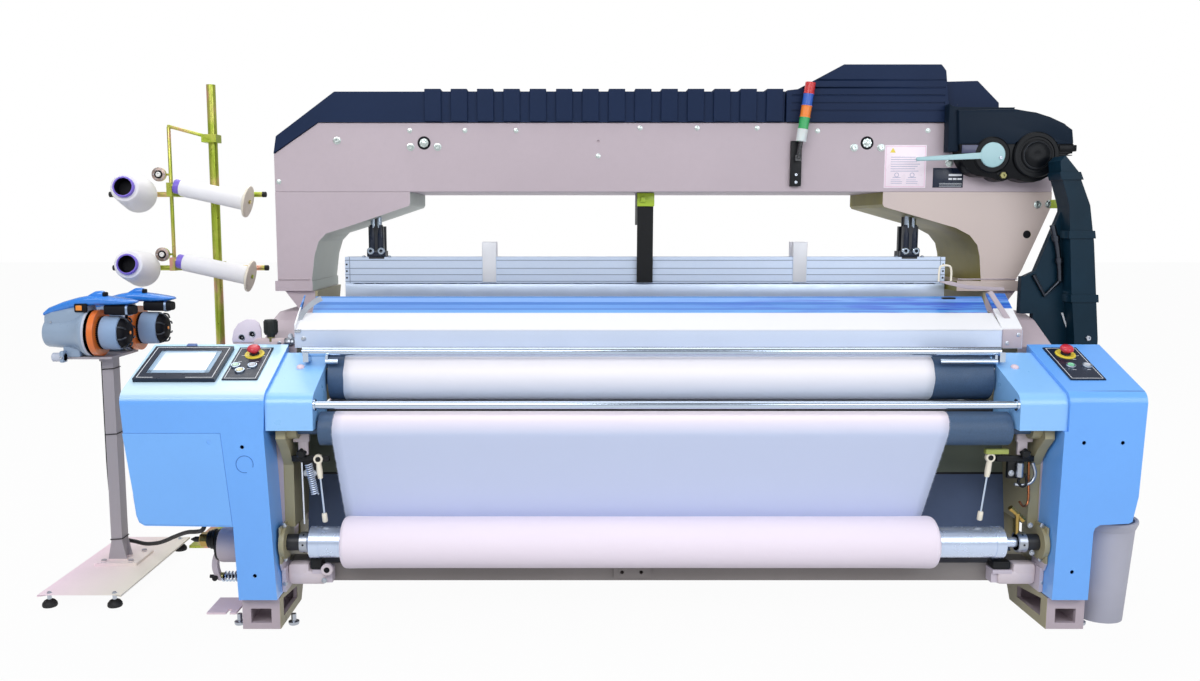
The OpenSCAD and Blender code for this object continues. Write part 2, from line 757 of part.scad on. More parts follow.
// Gantry beam: closed box with its upper left corner cut, open below for the lifting rods.
beam_outline = [[beam_x0, beam_z], [beam_x1, beam_z], [beam_x1, beam_top],
    [beam_x0 + 158, beam_top], [beam_x0, beam_top - 108]];
rod_x_left = -985;
rod_x_right = 944;
module gantry_beam() color([0.80, 0.77, 0.80]) difference() {
    along_y(gantry_y, gantry_back) polygon(beam_outline);
    along_y(gantry_y + beam_wall, gantry_back - beam_wall) offset(delta = -beam_wall) polygon(beam_outline);
    lift_slots(beam_z - 1);
    // Sight windows
    for (x = [-795, 749]) rod_y(23, gantry_y - 1, gantry_y + 20, x, 1534);
    for (x = [-1098, -188]) rod_y(5, gantry_y - 1, gantry_y + 5, x, 1540);
}

left_bracket_outline = [
    [-1320, beam_z], [-847, beam_z], [-847, 1326], [-852, 1316], [-1070, 1243], [-1145, 1220],
    [-1172, 1192], [-1188, 1141], [-1199, flange_z + flange_t - 1], [-1320, flange_z + flange_t - 1]];
right_bracket_outline = [
    [811, beam_z], [811, 1322], [818, 1312], [1072, 1240], [1122, 1214], [1150, 1180],
    [1160, 1140], [1168, flange_z + flange_t - 1], [1288, flange_z + flange_t - 1], [1311, 1092],
    [1403, 1313], [1403, beam_z]];

// Slots in which the lifting rods of the heald frames slide, from a height up into the beam.
module lift_slots(z0) for (x = [rod_x_left, rod_x_right])
    block([x - lift_r - seat, heald_y - 14, z0],
        [x + lift_r + seat, heald_y + 3 * heald_pitch + heald_t + 14, beam_z + beam_wall + 1]);

module gantry_bracket(outline, x0, x1, hole_x) difference() {
    union() {
        along_y(gantry_y, gantry_back) polygon(outline);
        block([x0, gantry_y - 6, flange_z], [x1, gantry_back + 6, flange_z + flange_t]);
    }
    // Hollow, open at the back
    translate([0, 0, flange_t]) along_y(gantry_y + beam_wall, gantry_back + 10)
        intersection() {
            offset(delta = -beam_wall) polygon(outline);
            translate([-2000, 900]) square([4000, beam_z - beam_wall - flange_t - 900]);
        }
    lift_slots(1200);
    for (y = [gantry_y + 60, gantry_back - 60])
        rod_z(11, flange_z - 1, flange_z + flange_t + 1, hole_x, y);
}

module gantry_brackets() color([0.80, 0.77, 0.80]) {
    gantry_bracket(left_bracket_outline, -1328, -1196, -1260);
    difference() {
        gantry_bracket(right_bracket_outline, 1082, 1305, 1240);
        rod_y(14, gantry_y - 1, gantry_y + 20, 1323, 1217);
    }
}

// Dark folded cover over the gantry beam, with upright ribs.
cover_z = beam_top + seat;
cover_end_x = 458;
module top_cover_outline() polygon([
    [beam_x0, beam_top - 107], [beam_x0 + 10, beam_top - 47], [beam_x0 + 217, beam_top + top_cover_h],
    [cover_end_x, beam_top + top_cover_h], [cover_end_x, cover_z], [beam_x0 + 158, cover_z]]);

module beam_top_cover() color([0.13, 0.15, 0.22]) {
    rib_x0 = -790;
    difference() {
        along_y(gantry_y - 6, gantry_back + 6) top_cover_outline();
        difference() {
            along_y(gantry_y - 2, gantry_back + 2) offset(delta = -4) top_cover_outline();
            block([beam_x0 - 1, 0, 0], [beam_x0 + 160, 2000, 2000]);
        }
        block([beam_x0 + 170, gantry_y - 2, beam_top - 10],
            [cover_end_x - 4, gantry_back + 2, beam_top + 20]);
    }
    for (i = [0 : rib_count - 1]) {
        x = rib_x0 + i * rib_pitch;
        if (x + rib_w < cover_end_x)
            block([x, gantry_y - 6 - rib_t, beam_top + 4],
                [x + rib_w, gantry_back + 6, beam_top + top_cover_h + rib_t]);
    }
}

dobby_top = beam_top + 196;
module dobby_outline() polygon([
    [462, cover_z], [462, beam_top + 108], [500, beam_top + 112], [658, dobby_top],
    [993, dobby_top], [1011, dobby_top - 23], [1032, cover_z]]);

module dobby_cover() color([0.13, 0.15, 0.23]) {
    difference() {
        along_y(gantry_y - 12, gantry_back + 12) dobby_outline();
        along_y(gantry_y - 2, gantry_back + 2) translate([0, -12]) offset(delta = -10) dobby_outline();
        // Long grooves across the front
        for (z = [beam_top + 36 : 26 : beam_top + 140])
            block([480, gantry_y - 13, z], [1010, gantry_y - 9, z + 6]);
    }
    along_y(gantry_y + 20, gantry_back - 10) polygon([
        [1034, cover_z], [1020, beam_top + 142], [1134, beam_top + 145], [1211, beam_top + 70],
        [1214, cover_z]]);
}

// Gear case of the dobby with its round shaft cap.
case_front = 480;
cap_t = 12;
lever_x = 1157;
lever_z = beam_z + 123;
module dobby_gear_case() color([0.17, 0.18, 0.20]) {
    cap_x = 1307;
    cap_z = beam_z + 123;
    difference() {
        union() {
            along_y(case_front, gantry_y - 12 - seat) translate([0, beam_z]) polygon([
                [1010, 296], [1040, 278], [1232, 278], [1351, 252], [1428, 209], [1435, 162],
                [1437, 129], [1396, 122], [1390, 99], [1377, 77], [1327, 37], [1282, 32],
                [1233, 48], [1197, 50], [1178, 37], [1159, 48], [1103, 50], [1072, 77],
                [1052, 107], [1044, 162]]);
            // Pad that seats on the gantry
            block([1090, gantry_y - 13, beam_z + 60], [1370, gantry_y - seat, beam_z + 230]);
            rod_y(70, case_front - cap_t, case_front + 1, cap_x, cap_z);
            rod_y(14, case_front - 10, case_front + 1, 1197, beam_z + 56);
        }
        rod_y(45, case_front - 13, case_front - 6, cap_x, cap_z);
        rod_y(12 + run_gap, case_front - 1, case_front + 40, lever_x, lever_z);
        for (a = [0 : 60 : 300]) rod_y(4, case_front - 13, case_front - 6,
            cap_x + 58 * cos(a), cap_z + 58 * sin(a));
    }
}

module dobby_lever() color([0.62, 0.66, 0.64]) {
    rod_y(42, case_front - 10, case_front - seat, lever_x, lever_z);
    rod_y(12, case_front - 2, case_front + 36, lever_x, lever_z);
    rod_y(14, case_front - 16, case_front - 9, lever_x, lever_z);
    along_y(case_front - 9, case_front - 2) polygon([
        [lever_x, lever_z + 8], [lever_x, lever_z - 8], [898, lever_z - 21], [898, lever_z - 8]]);
}

// Slanting drive duct at the right, with collars, and the dark plate beside it.
module duct_outline() polygon([
    [1345, beam_z + 97], [1362, beam_z + 115], [1406, beam_z + 64], [1453, beam_z - 49],
    [1474, 1187], [duct_x1, 865],
    [duct_x1, 420], [1420, 420], [1426, 865], [1406, 1032], [1383, beam_z - 49],
    [1350, beam_z + 53]]);

module side_duct() color([0.10, 0.10, 0.11]) {
    duct_y0 = 384;
    duct_y1 = case_front - cap_t - seat;
    difference() {
        union() {
            along_y(duct_y0, duct_y1) duct_outline();
            for (z = [990, 1205, 1400]) along_y(duct_y0 - 5, duct_y1) intersection() {
                offset(delta = 5) duct_outline();
                translate([1300, z]) square([300, 26]);
            }
            along_y(main_y + 14, duct_y1) polygon([
                [1262, 1075], [1272, 1075], [1308, 1092], [1392, beam_z - 49], [1400, beam_z - 49],
                [1430, 865], [1430, 640], [frame_out + seat, 640], [frame_out + seat, frame_top],
                [1262, frame_top]]);
            rod_x(46, 1416, 1430, main_y, main_z);
        }
        rod_x(main_r + run_gap, 1400, 1480, main_y, main_z);
    }
}

module signal_tower() color([0.85, 0.86, 0.86]) {
    lean = 8;
    mast_y = gantry_y - 34;
    block([482, gantry_y - 16, beam_z + 20], [518, gantry_y - seat, beam_z + 174]);
    block([492, mast_y - 4, beam_z + 105], [512, gantry_y - 10, beam_z + 125]);
    translate([502, mast_y, beam_z + 113]) rotate([0, lean, 0]) {
        cylinder(r = 8, h = 60);
        for (i = [0 : 4]) translate([0, 0, 60 + i * 40]) cylinder(r = i == 0 ? 18 : 17.4, h = 40);
        for (i = [0 : 4]) translate([0, 0, 59 + i * 40]) cylinder(r = 18.6, h = 4);
    }
}

// Comb that keeps the heald frames apart in the middle.
module centre_guide() color([0.09, 0.09, 0.10]) {
    guide_x0 = -44;
    guide_x1 = 13;
    back = heald_y + 3 * heald_pitch + heald_t + 8;
    block([guide_x0, heald_y - 20, 1044], [guide_x1, heald_y - 8, beam_z - seat]);
    block([guide_x0, heald_y - 9, 1250], [guide_x1, back, beam_z - seat]);
    for (i = [0 : 2]) {
        gap_y = heald_y + heald_t + i * heald_pitch;
        block([guide_x0 + 16, gap_y + 4, 1044], [guide_x1 - 16, gap_y + heald_pitch - heald_t - 4, 1251]);
    }
}

heald_x0 = -1100;
heald_x1 = 1074;

// A heald frame with its heddles, guide blocks and lifting rods, at its lifted place.
module heald_frame(index, drop) {
    y0 = heald_y + index * heald_pitch;
    top = heald_top - drop;
    low = top - heald_h;
    stay = 30;
    low_rail = 60;
    step = (heald_x1 - heald_x0 - 2 * stay) / heddle_count;
    along_y(y0, y0 + heald_t) difference() {
        translate([heald_x0, low]) square([heald_x1 - heald_x0, heald_h]);
        translate([heald_x0 + stay, low + low_rail])
            square([heald_x1 - heald_x0 - 2 * stay, heald_h - heald_rail - low_rail]);
    }
    along_y(y0 + heald_t / 2 - 1.5, y0 + heald_t / 2 + 1.5) difference() {
        translate([heald_x0 + stay - 1, low + low_rail - 1])
            square([heald_x1 - heald_x0 - 2 * stay + 2, heald_h - heald_rail - low_rail + 2]);
        for (i = [0 : heddle_count - 1]) translate([heald_x0 + stay + i * step + 3, low + low_rail])
            square([step - 6, heald_h - heald_rail - low_rail]);
    }
    for (x = [-603, 521]) block([x, y0 - 3, top - heald_rail + 2], [x + 52, y0 + heald_t + 3, top + 54]);
    for (x = [rod_x_left, rod_x_right]) {
        block([x - 27, y0 - 3, top - 6], [x + 27, y0 + heald_t + 3, top + 110]);
        rod_z(lift_r, top + 109, beam_z + 60 - drop, x, y0 + heald_t / 2);
    }
}

module heald_frame_1() color([0.72, 0.74, 0.77]) heald_frame(0, 0);
module heald_frame_2() color([0.72, 0.74, 0.77]) heald_frame(1, shed_lift);
module heald_frame_3() color([0.72, 0.74, 0.77]) heald_frame(2, 0);
module heald_frame_4() color([0.72, 0.74, 0.77]) heald_frame(3, shed_lift);

// Rocking shaft, swords and sley beam.
reed_t = 10;
reed_in = 19;
sley_x0 = -1050;
sley_x1 = 920;
module sley() color([0.62, 0.64, 0.67]) {
    sword_w = 36;
    beam_low = reed_z - 62;
    rod_x(journal_r, -frame_out, frame_out, sley_y, sley_z);
    difference() {
        block([sley_x0, sley_y - 26, beam_low], [sley_x1, sley_y + 26, reed_z]);
        block([sley_x0 + 12 - seat, sley_y - reed_t / 2 - seat, reed_z - reed_in - seat],
            [sley_x1 - 12 + seat, sley_y + reed_t / 2 + seat, reed_z + 1]);
    }
    for (x = [-1000, -360, 260, 860]) {
        along_x(x, x + sword_w) polygon([
            [sley_y - 44, sley_z], [sley_y + 44, sley_z], [sley_y + 22, beam_low + 1],
            [sley_y - 22, beam_low + 1]]);
        rod_x(48, x - 14, x + sword_w + 14, sley_y, sley_z);
    }
}

module reed() color([0.75, 0.77, 0.80]) {
    reed_x0 = sley_x0 + 12;
    reed_x1 = sley_x1 - 12;
    step = (reed_x1 - reed_x0 - 20) / reed_gaps;
    along_y(sley_y - reed_t / 2, sley_y + reed_t / 2) difference() {
        translate([reed_x0, reed_z - reed_in]) square([reed_x1 - reed_x0, reed_h + reed_in]);
        for (i = [0 : reed_gaps - 1]) translate([reed_x0 + 10 + i * step + 2, reed_z + 8])
            square([step - 4, reed_h - 22]);
    }
}

// A roller with its journals.
module roller(r, x0, x1, y, z, jr) {
    rod_x(r, x0, x1, y, z);
    rod_x(jr, -frame_in + seat, frame_in - seat, y, z);
}

module take_up_roller() color([0.45, 0.50, 0.52])
    roller(take_up_r, -arm_in + 8, arm_in - 8, take_up_y, take_up_z, 25);

module guide_roller() color([0.45, 0.50, 0.52])
    roller(guide_r, -arm_in + 8, arm_in - 8, guide_y, guide_z, 18);

module press_roller() color([0.20, 0.21, 0.22])
    roller(press_r, -arm_in + 8, arm_in - 8, press_y(), press_z(), 14);

core_x0 = -1100;
core_x1 = 1060;
module cloth_roll_core() color([0.80, 0.82, 0.85]) {
    difference() {
        union() {
            rod_x(core_r, core_x0, core_x1, roll_y, roll_z);
            for (x = [core_x0, core_x1 - 30]) rod_x(core_r + 1.5, x, x + 30, roll_y, roll_z);
        }
        for (x = [core_x0 + 14, core_x1 - 14])
            rod_z(5, roll_z + core_r - 12, roll_z + core_r + 4, x, roll_y);
    }
    rod_x(16, -frame_in + seat, frame_in - seat, roll_y, roll_z);
}

module cloth_roll() color([0.90, 0.90, 0.92]) difference() {
    union() {
        rod_x(roll_r, cloth_x0 + 14, cloth_x1 - 14, roll_y, roll_z);
        rod_x(roll_r - 4, cloth_x0 + 6, cloth_x1 - 6, roll_y, roll_z);
        rod_x(roll_r - 12, cloth_x0, cloth_x1, roll_y, roll_z);
    }
    rod_x(core_r + 0.02, cloth_x0 - 1, cloth_x1 + 1, roll_y, roll_z);
}

// Points of an arc round a roller, from angle a0 to a1 in the (Y, Z) plane.
function arc_points(y, z, r, a0, a1, n) =
    [for (i = [0 : n]) [y + r * cos(a0 + (a1 - a0) * i / n), z + r * sin(a0 + (a1 - a0) * i / n)]];

// The cloth: from the fell over the take-up roller, past the press roller, over the guide
// roller and down behind the cloth roll. off is the distance from the roller surfaces.
fell_y = 436;
fell_z = 868;
nip = 252;
press_run = [guide_y - press_y(), guide_z - press_z()];

// Angle at which a line from a point leaves a round of radius r at (y, z), on the given side.
function tangent_angle(py, pz, y, z, r, side) =
    atan2(pz - z, py - y) + side * acos(r / norm([py - y, pz - z]));
function press_leave() = atan2(press_run[1], press_run[0]) + 360
    + acos((press_r + guide_r + 2 * seat + cloth_t) / norm(press_run));
function roll_cross() = asin((guide_r + roll_r + 2 * seat + cloth_t) / (guide_z - roll_z));
function cloth_side(off) = concat(
    [[fell_y, fell_z + off]],
    arc_points(take_up_y, take_up_z, take_up_r + seat + off,
        tangent_angle(fell_y, fell_z, take_up_y, take_up_z, take_up_r + seat, 1), nip, 30),
    arc_points(press_y(), press_z(), press_r + seat + cloth_t - off, nip - 182, press_leave() - 360, 24),
    arc_points(guide_y, guide_z, guide_r + seat + off, press_leave() - 180, 180 + roll_cross(), 22),
    arc_points(roll_y, roll_z, roll_r + seat + cloth_t - off, roll_cross(), -30, 10));

module cloth_sheet() color([0.93, 0.93, 0.95]) along_x(cloth_x0, cloth_x1) polygon(concat(
    cloth_side(0),
    [for (i = [len(cloth_side(0)) - 1 : -1 : 0]) cloth_side(cloth_t)[i]]));

warp_x0 = cloth_x0 - 20;
warp_x1 = cloth_x1 + 20;
module warp_beam() color([0.70, 0.71, 0.74]) {
    disc_t = 16;
    // The wound warp, one solid with the barrel under it
    rod_x(warp_r, warp_x0 - 1, warp_x1 + 1, beam_axis_y, beam_axis_z);
    rod_x(journal_r, -frame_out, frame_out, beam_axis_y, beam_axis_z);
    for (x = [warp_x0 - disc_t, warp_x1]) difference() {
        rod_x(flange_r, x, x + disc_t, beam_axis_y, beam_axis_z);
        for (a = [30 : 60 : 330]) rod_x(26, x - 1, x + disc_t + 1,
            beam_axis_y + 345 * cos(a), beam_axis_z + 345 * sin(a));
    }
}

lease_y = 776;
lease_z = 885;
function warp_side(off) = concat(
    arc_points(beam_axis_y, beam_axis_z, warp_r + seat + off, -10, rest_angle(), 12),
    arc_points(rest_y, rest_z, rest_r + seat + off, rest_angle(),
        360 + tangent_angle(lease_y, lease_z, rest_y, rest_z, rest_r + seat, -1), 14),
    [[lease_y, lease_z + off]]);
function rest_angle() = atan2(rest_z - beam_axis_z, rest_y - beam_axis_y) - 90
    + acos(0) - acos((warp_r - rest_r) / norm([rest_y - beam_axis_y, rest_z - beam_axis_z]));

module warp_sheet() color([0.94, 0.94, 0.95]) along_x(cloth_x0, cloth_x1) polygon(concat(
    warp_side(0),
    [for (i = [len(warp_side(0)) - 1 : -1 : 0]) warp_side(cloth_t)[i]]));

// Back rest roller; its brackets stand on the frames.
module back_rest_roller() color([0.66, 0.69, 0.72]) {
    rod_x(rest_r, -frame_in + 40, frame_in - 40, rest_y, rest_z);
    rod_x(rest_pin_r, -frame_out + 20, frame_out - 20, rest_y, rest_z);
}

shaft_end = duct_x1 - 40;
module main_shaft() color([0.60, 0.62, 0.65]) {
    rod_x(main_r, -frame_out - 10, shaft_end, main_y, main_z);
    rod_x(main_r + 8, frame_out + 10, frame_out + 22, main_y, main_z);
    pulley_x0 = frame_out + 22;
    difference() {
        union() {
            rod_x(pulley_r, pulley_x0, pulley_x0 + belt_w + 4, main_y, main_z);
            rod_x(pulley_r + 6, pulley_x0, pulley_x0 + 2, main_y, main_z);
            rod_x(pulley_r + 6, pulley_x0 + belt_w + 2, pulley_x0 + belt_w + 4, main_y, main_z);
        }
        for (a = [0 : 72 : 288]) rod_x(34, pulley_x0 - 1, pulley_x0 + belt_w + 5,
            main_y + 92 * cos(a), main_z + 92 * sin(a));
    }
}

module main_motor() color([0.45, 0.50, 0.56]) {
    motor_x1 = frame_in - seat;
    motor_r = 100;
    motor_l = 250;
    difference() {
        union() {
            rod_x(motor_r, motor_x1 - motor_l, motor_x1 - 20, motor_y, motor_z);
            rod_x(motor_r + 14, motor_x1 - 24, motor_x1, motor_y, motor_z);
            for (i = [0 : 7]) rod_x(motor_r + 7, motor_x1 - motor_l + 16 + i * 26,
                motor_x1 - motor_l + 22 + i * 26, motor_y, motor_z);
            block([motor_x1 - 170, motor_y - 150, motor_z + 20],
                [motor_x1 - 90, motor_y - 60, motor_z + 90]);
        }
        rod_x(motor_pin_r + run_gap, motor_x1 - 60, motor_x1 + 1, motor_y, motor_z);
    }
}

module motor_pulley() color([0.55, 0.57, 0.60]) {
    x0 = frame_out + 22;
    rod_x(motor_pin_r, frame_in - 58, x0 + 1, motor_y, motor_z);
    rod_x(motor_pulley_r, x0, x0 + belt_w + 4, motor_y, motor_z);
    for (x = [x0, x0 + belt_w + 2]) rod_x(motor_pulley_r + 5, x, x + 2, motor_y, motor_z);
}

// Outline round two pulleys at a distance from their rims.
module belt_loop(off) {
    span = norm([motor_y - main_y, motor_z - main_z]);
    line = atan2(motor_z - main_z, motor_y - main_y);
    lean = asin((pulley_r - motor_pulley_r) / span);
    polygon(concat(
        arc_points(main_y, main_z, pulley_r + off, line + 90 - lean, line + 270 + lean, 48),
        arc_points(motor_y, motor_z, motor_pulley_r + off, line - 90 + lean, line + 90 - lean, 28)));
}

module drive_belt() color([0.08, 0.08, 0.08])
    along_x(frame_out + 24 + seat, frame_out + 22 + belt_w + 2 - seat) difference() {
        belt_loop(5);
        belt_loop(seat);
    }

// Hand shaft, brass nut, round housing, lever and spring outside the left frame.
clutch_y = 200;
clutch_z = 206;
module take_up_clutch() color([0.72, 0.70, 0.68]) {
    hx = -frame_out;
    rod_x(40, hx - 60, -frame_in - frame_wall - seat, clutch_y, clutch_z);
    rod_x(56, hx - 128, hx - 60, clutch_y, clutch_z);
    rod_x(50, hx - 134, hx - 127, clutch_y, clutch_z);
    for (i = [0 : 2]) rod_x(34 - 3 * i, hx - 150 - i * 9, hx - 133 - i * 9, clutch_y, clutch_z + 18);
    rod_x(24, hx - 194, hx - 166, clutch_y, clutch_z + 18);
    rod_x(9, hx - 226, hx - 190, clutch_y, clutch_z + 18);
    along_y(clutch_y - 18, clutch_y + 6) polygon([
        [hx - 150, clutch_z - 20], [hx - 136, clutch_z - 24], [hx - 126, clutch_z - 118],
        [hx - 146, clutch_z - 122]]);
    rod_x(6, hx - 164, hx - seat, clutch_y - 6, clutch_z - 106);
    for (i = [0 : 5]) rod_x(17, hx - 118 + i * 14, hx - 112 + i * 14, clutch_y - 6, clutch_z - 106);
}

// Weft guide plate, clamp knob, clamp and nozzle over the left frame.
module weft_guides() color([0.90, 0.89, 0.90]) {
    side_x = -frame_out - seat;
    guide_z = 866;
    difference() {
        block([-1405, 300, guide_z - 1], [side_x, 308, guide_z + 76]);
        for (h = [[-1374, 884], [-1340, 896]]) rod_y(9, 299, 309, h[0], h[1]);
    }
    block([-1405, 300, guide_z - 8], [side_x, 400, guide_z]);
    block([side_x - 8, 300, guide_z - 146], [side_x, 400, guide_z]);
    rod_x(7, side_x - 6, -frame_in - seat, 304, guide_z + 36);
    rod_z(20, guide_z + 12, guide_z + 72, -1279, 304);
    block([-1246, 290, guide_z + 20], [-1200, 320, guide_z + 46]);
    rod_x(5, -1201, -frame_in - seat, 310, guide_z + 30);
}

// Unit direction of the cable at one of its points.
function cable_dir(i) = let(
    n = len(cable_route) - 1,
    d = i == 0 ? [0, 0, -1] : i == n ? [0, 0, 1] : cable_route[i + 1] - cable_route[i - 1])
    d / norm(d);
function cable_ring(i) = let(
    t = cable_dir(i),
    u0 = cross(t, [1, 1.1, 0]),
    u = u0 / norm(u0),
    v = cross(t, u))
    [for (k = [0 : cable_sides - 1]) cable_route[i]
        + cable_r * (cos(360 * k / cable_sides) * u + sin(360 * k / cable_sides) * v)];

module supply_cable() color([0.04, 0.04, 0.04]) {
    n = len(cable_route);
    m = cable_sides;
    polyhedron(
        points = [for (i = [0 : n - 1]) each cable_ring(i)],
        faces = concat(
            [[for (k = [0 : m - 1]) k]],
            [for (i = [0 : n - 2], k = [0 : m - 1])
                [i * m + k, (i + 1) * m + k, (i + 1) * m + (k + 1) % m, i * m + (k + 1) % m]],
            [[for (k = [m - 1 : -1 : 0]) (n - 1) * m + k]]));
}

module weft_stand() color([0.80, 0.77, 0.80]) {
    foot_r = 22;
    plate_z = stand_h - stand_t;
    block([stand_x0, stand_y0, plate_z], [stand_x1, stand_y1, stand_h]);
    for (x = [stand_x0 + 30, stand_x1 - 30], y = [stand_y0 + 22, stand_y1 - 22])
        rod_z(foot_r, 0, plate_z, x, y);
    block([post_x - 75, post_y - 60, stand_h], [post_x + 75, post_y + 90, stand_h + 10]);
    difference() {
        block([post_x - post_w / 2, post_y - post_w / 2, stand_h + 9],
            [post_x + post_w / 2, post_y + post_w / 2, post_top]);
        block([post_x - post_w / 2 + 3, post_y - post_w / 2 + 3, stand_h + 12],
            [post_x + post_w / 2 - 3, post_y + post_w / 2 - 3, post_top - 3]);
    }
    for (y = [post_y - post_w / 2, post_y + post_w / 2 - 6]) along_y(y, y + 6) polygon([
        [post_x - 45, stand_h + 9], [post_x + 45, stand_h + 9], [post_x + post_w / 2, stand_h + 80],
        [post_x - post_w / 2, stand_h + 80]]);
    for (x = [post_x - 48, post_x + 48], y = [post_y - 42, post_y + 74])
        rod_z(9, stand_h + 9, stand_h + 18, x, y);
    // Cross rails that carry both feeders
    block([post_x - 48, feeder_y - 24, post_top],
        [post_x + 36, feeder_y + feeder_step_y + 24, post_top + rail_t]);
    rod_z(gland_r, cable_route[len(cable_route) - 1][2], post_top + 1, cable_route[len(cable_route) - 1][0],
        cable_route[len(cable_route) - 1][1]);
    for (i = [0 : 1]) translate([0, feeder_y + i * feeder_step_y, 0])
        block([disc_x - 120 + i * feeder_step_x, -24, post_top], [post_x + 36, 24, post_top + rail_t]);
}

// A feeder: body, top rail, drum and sensor arm, with its axis along X.
module feeder() {
    body_x1 = disc_x - 14;
    difference() {
        union() {
            rod_x(55, disc_x - feeder_rear + 8, body_x1, 0, feeder_z);
            rod_x(30, disc_x - feeder_rear, disc_x - feeder_rear + 9, 0, feeder_z);
            along_y(-38, 38) polygon([
                [disc_x - 172, feeder_z + 30], [disc_x - 172, feeder_z + 84], [disc_x - 20, feeder_z + 130],
                [disc_x + 136, feeder_z + 112], [disc_x + 136, feeder_z + 96], [disc_x + 4, feeder_z + 96],
                [body_x1, feeder_z + 90], [body_x1, feeder_z + 30]]);
            along_y(-14, 14) polygon([
                [disc_x, feeder_z + 120], [disc_x + 10, feeder_z + 144], [disc_x + 48, feeder_z + 144],
                [disc_x + 54, feeder_z + 116]]);
            block([disc_x + 56, -20, feeder_z + 66], [disc_x + 136, 20, feeder_z + 98]);
            rod_x(drum_r, disc_x + 10, disc_x + 10 + drum_len, 0, feeder_z);
            rod_x(drum_r - 6, disc_x + 9 + drum_len, disc_x + 105, 0, feeder_z);
            rod_x(16, body_x1 - 2, disc_x + 12, 0, feeder_z);
            block([disc_x - 118, -30, post_top + rail_t + seat], [disc_x - 60, 30, feeder_z - 40]);
        }
    }
    rod_x(16, disc_x - 148, disc_x - 104, -42, feeder_z - 80);
}

module weft_feeders() color([0.45, 0.62, 0.85]) for (i = [0 : 1])
    translate([i * feeder_step_x, feeder_y + i * feeder_step_y, 0]) feeder();

module winding_disc() difference() {
    rod_x(disc_r, disc_x - 12, disc_x + 8, 0, feeder_z);
    rod_x(16 + stem_gap, disc_x - 13, disc_x + 9, 0, feeder_z);
}

module winding_disc_1() color([0.90, 0.45, 0.15]) translate([0, feeder_y, 0]) winding_disc();
module winding_disc_2() color([0.90, 0.45, 0.15])
    translate([feeder_step_x, feeder_y + feeder_step_y, 0]) winding_disc();

// Leans a long tube so that its base disc hangs lower.
module tilted(z) translate([-1630, tube_axis_y, z]) rotate([0, 12, 0])
    translate([1630, -tube_axis_y, -z]) children();

// Pole with arms, clamps, guide rod and base, and the four yarn packages on the arms.
module creel() color([0.72, 0.70, 0.45]) {
    rod_z(pole_r, 10, pole_top, pole_x, pole_y);
    block([pole_x - 115, pole_y - 115, 0], [pole_x + 160, pole_y + 160, 10]);
    for (z = [arm_lo, arm_hi]) {
        rod_x(arm_r, arm_x0, arm_x1, pole_y - pole_r - arm_r, z);
        block([pole_x - 26, pole_y - pole_r - 2 * arm_r - 4, z - 24],
            [pole_x + 26, pole_y + pole_r + 6, z + 24]);
    }
    // Spindles of the long tubes, in front of the arms
    for (z = [arm_lo, arm_hi]) {
        tilted(z) rod_x(tube_pin_r, -1790, -1480, tube_axis_y, z);
        block([-1796, tube_axis_y - tube_pin_r, z - 8], [-1776, pole_y - pole_r - arm_r, z + 42]);
    }
    guide_x = -1806;
    guide_y = pole_y - 30;
    rod_z(4, 1107, 1622, guide_x, guide_y);
    translate([guide_x, guide_y, 1622]) rotate([0, 105, 0]) cylinder(r = 4, h = 160);
    block([pole_x - 30, guide_y - 12, 1562], [pole_x + 26, pole_y + pole_r + 4, 1592]);
    for (z = [1441, 1138]) rod_y(26, guide_y - 14, guide_y - 2, guide_x - 40, z);
    for (z = [1441, 1138]) block([guide_x - 40, guide_y - 4, z - 4], [guide_x + 4, guide_y + 4, z + 4]);
}

// Yarn tubes and cones on the arms of the creel.
module yarn_packages() color([0.93, 0.92, 0.90]) {
    arm_y = pole_y - pole_r - arm_r;
    for (z = [arm_lo, arm_hi]) {
        // Long tube with its end rings and base disc
        tilted(z) difference() {
            union() {
                rod_x(32, -1757, -1504, tube_axis_y, z);
                rod_x(38, -1764, -1752, tube_axis_y, z);
                rod_x(tube_disc_r, -1506, -1494, tube_axis_y, z);
                rod_x(46, -1500, -1484, tube_axis_y, z);
            }
            rod_x(tube_pin_r + seat, -1765, -1483, tube_axis_y, z);
        }
        // Cone whose nose points to the front, on a peg from the arm
        difference() {
            union() {
                rod_y(14, arm_y - 40, arm_y - arm_r + 4, cone_x, z);
                translate([cone_x, arm_y - 40, z]) rotate([90, 0, 0]) cylinder(r1 = 68, r2 = 52, h = 150);
                translate([cone_x, arm_y - 189, z]) rotate([90, 0, 0]) cylinder(r = 26, h = 16);
            }
            translate([cone_x, arm_y - 206, z]) rotate([-90, 0, 0]) cylinder(r = 17, h = 60);
            rod_x(arm_r + seat, cone_x - 40, cone_x + 40, arm_y, z);
        }
    }
}

// Foot pedal beside the left foot.
module pedal() color([0.80, 0.77, 0.80]) {
    plate_x0 = -1420;
    plate_x1 = -1328;
    rod_x(pedal_r, plate_x1 - 20, -frame_out + 12, pedal_y, pedal_z);
    difference() {
        block([plate_x0, 0, pedal_z + 2], [plate_x1, pedal_y + 8, pedal_z + 8]);
        block([plate_x0 + 60, -1, pedal_z + 1], [plate_x0 + 72, 30, pedal_z + 9]);
    }
    rod_x(pedal_r + 5, plate_x1 - 24, plate_x1, pedal_y, pedal_z);
}

module waste_bin() color([0.80, 0.76, 0.80]) translate([bin_x, bin_y, 0]) {
    rim = 6;
    difference() {
        union() {
            cylinder(r1 = bin_base_r, r2 = bin_r - rim, h = bin_h);
            translate([0, 0, bin_h - rim]) cylinder(r = bin_r, h = rim);
        }
        translate([0, 0, bin_wall])
            cylinder(r1 = bin_base_r - bin_wall, r2 = bin_r - rim - bin_wall, h = bin_h);
    }
}

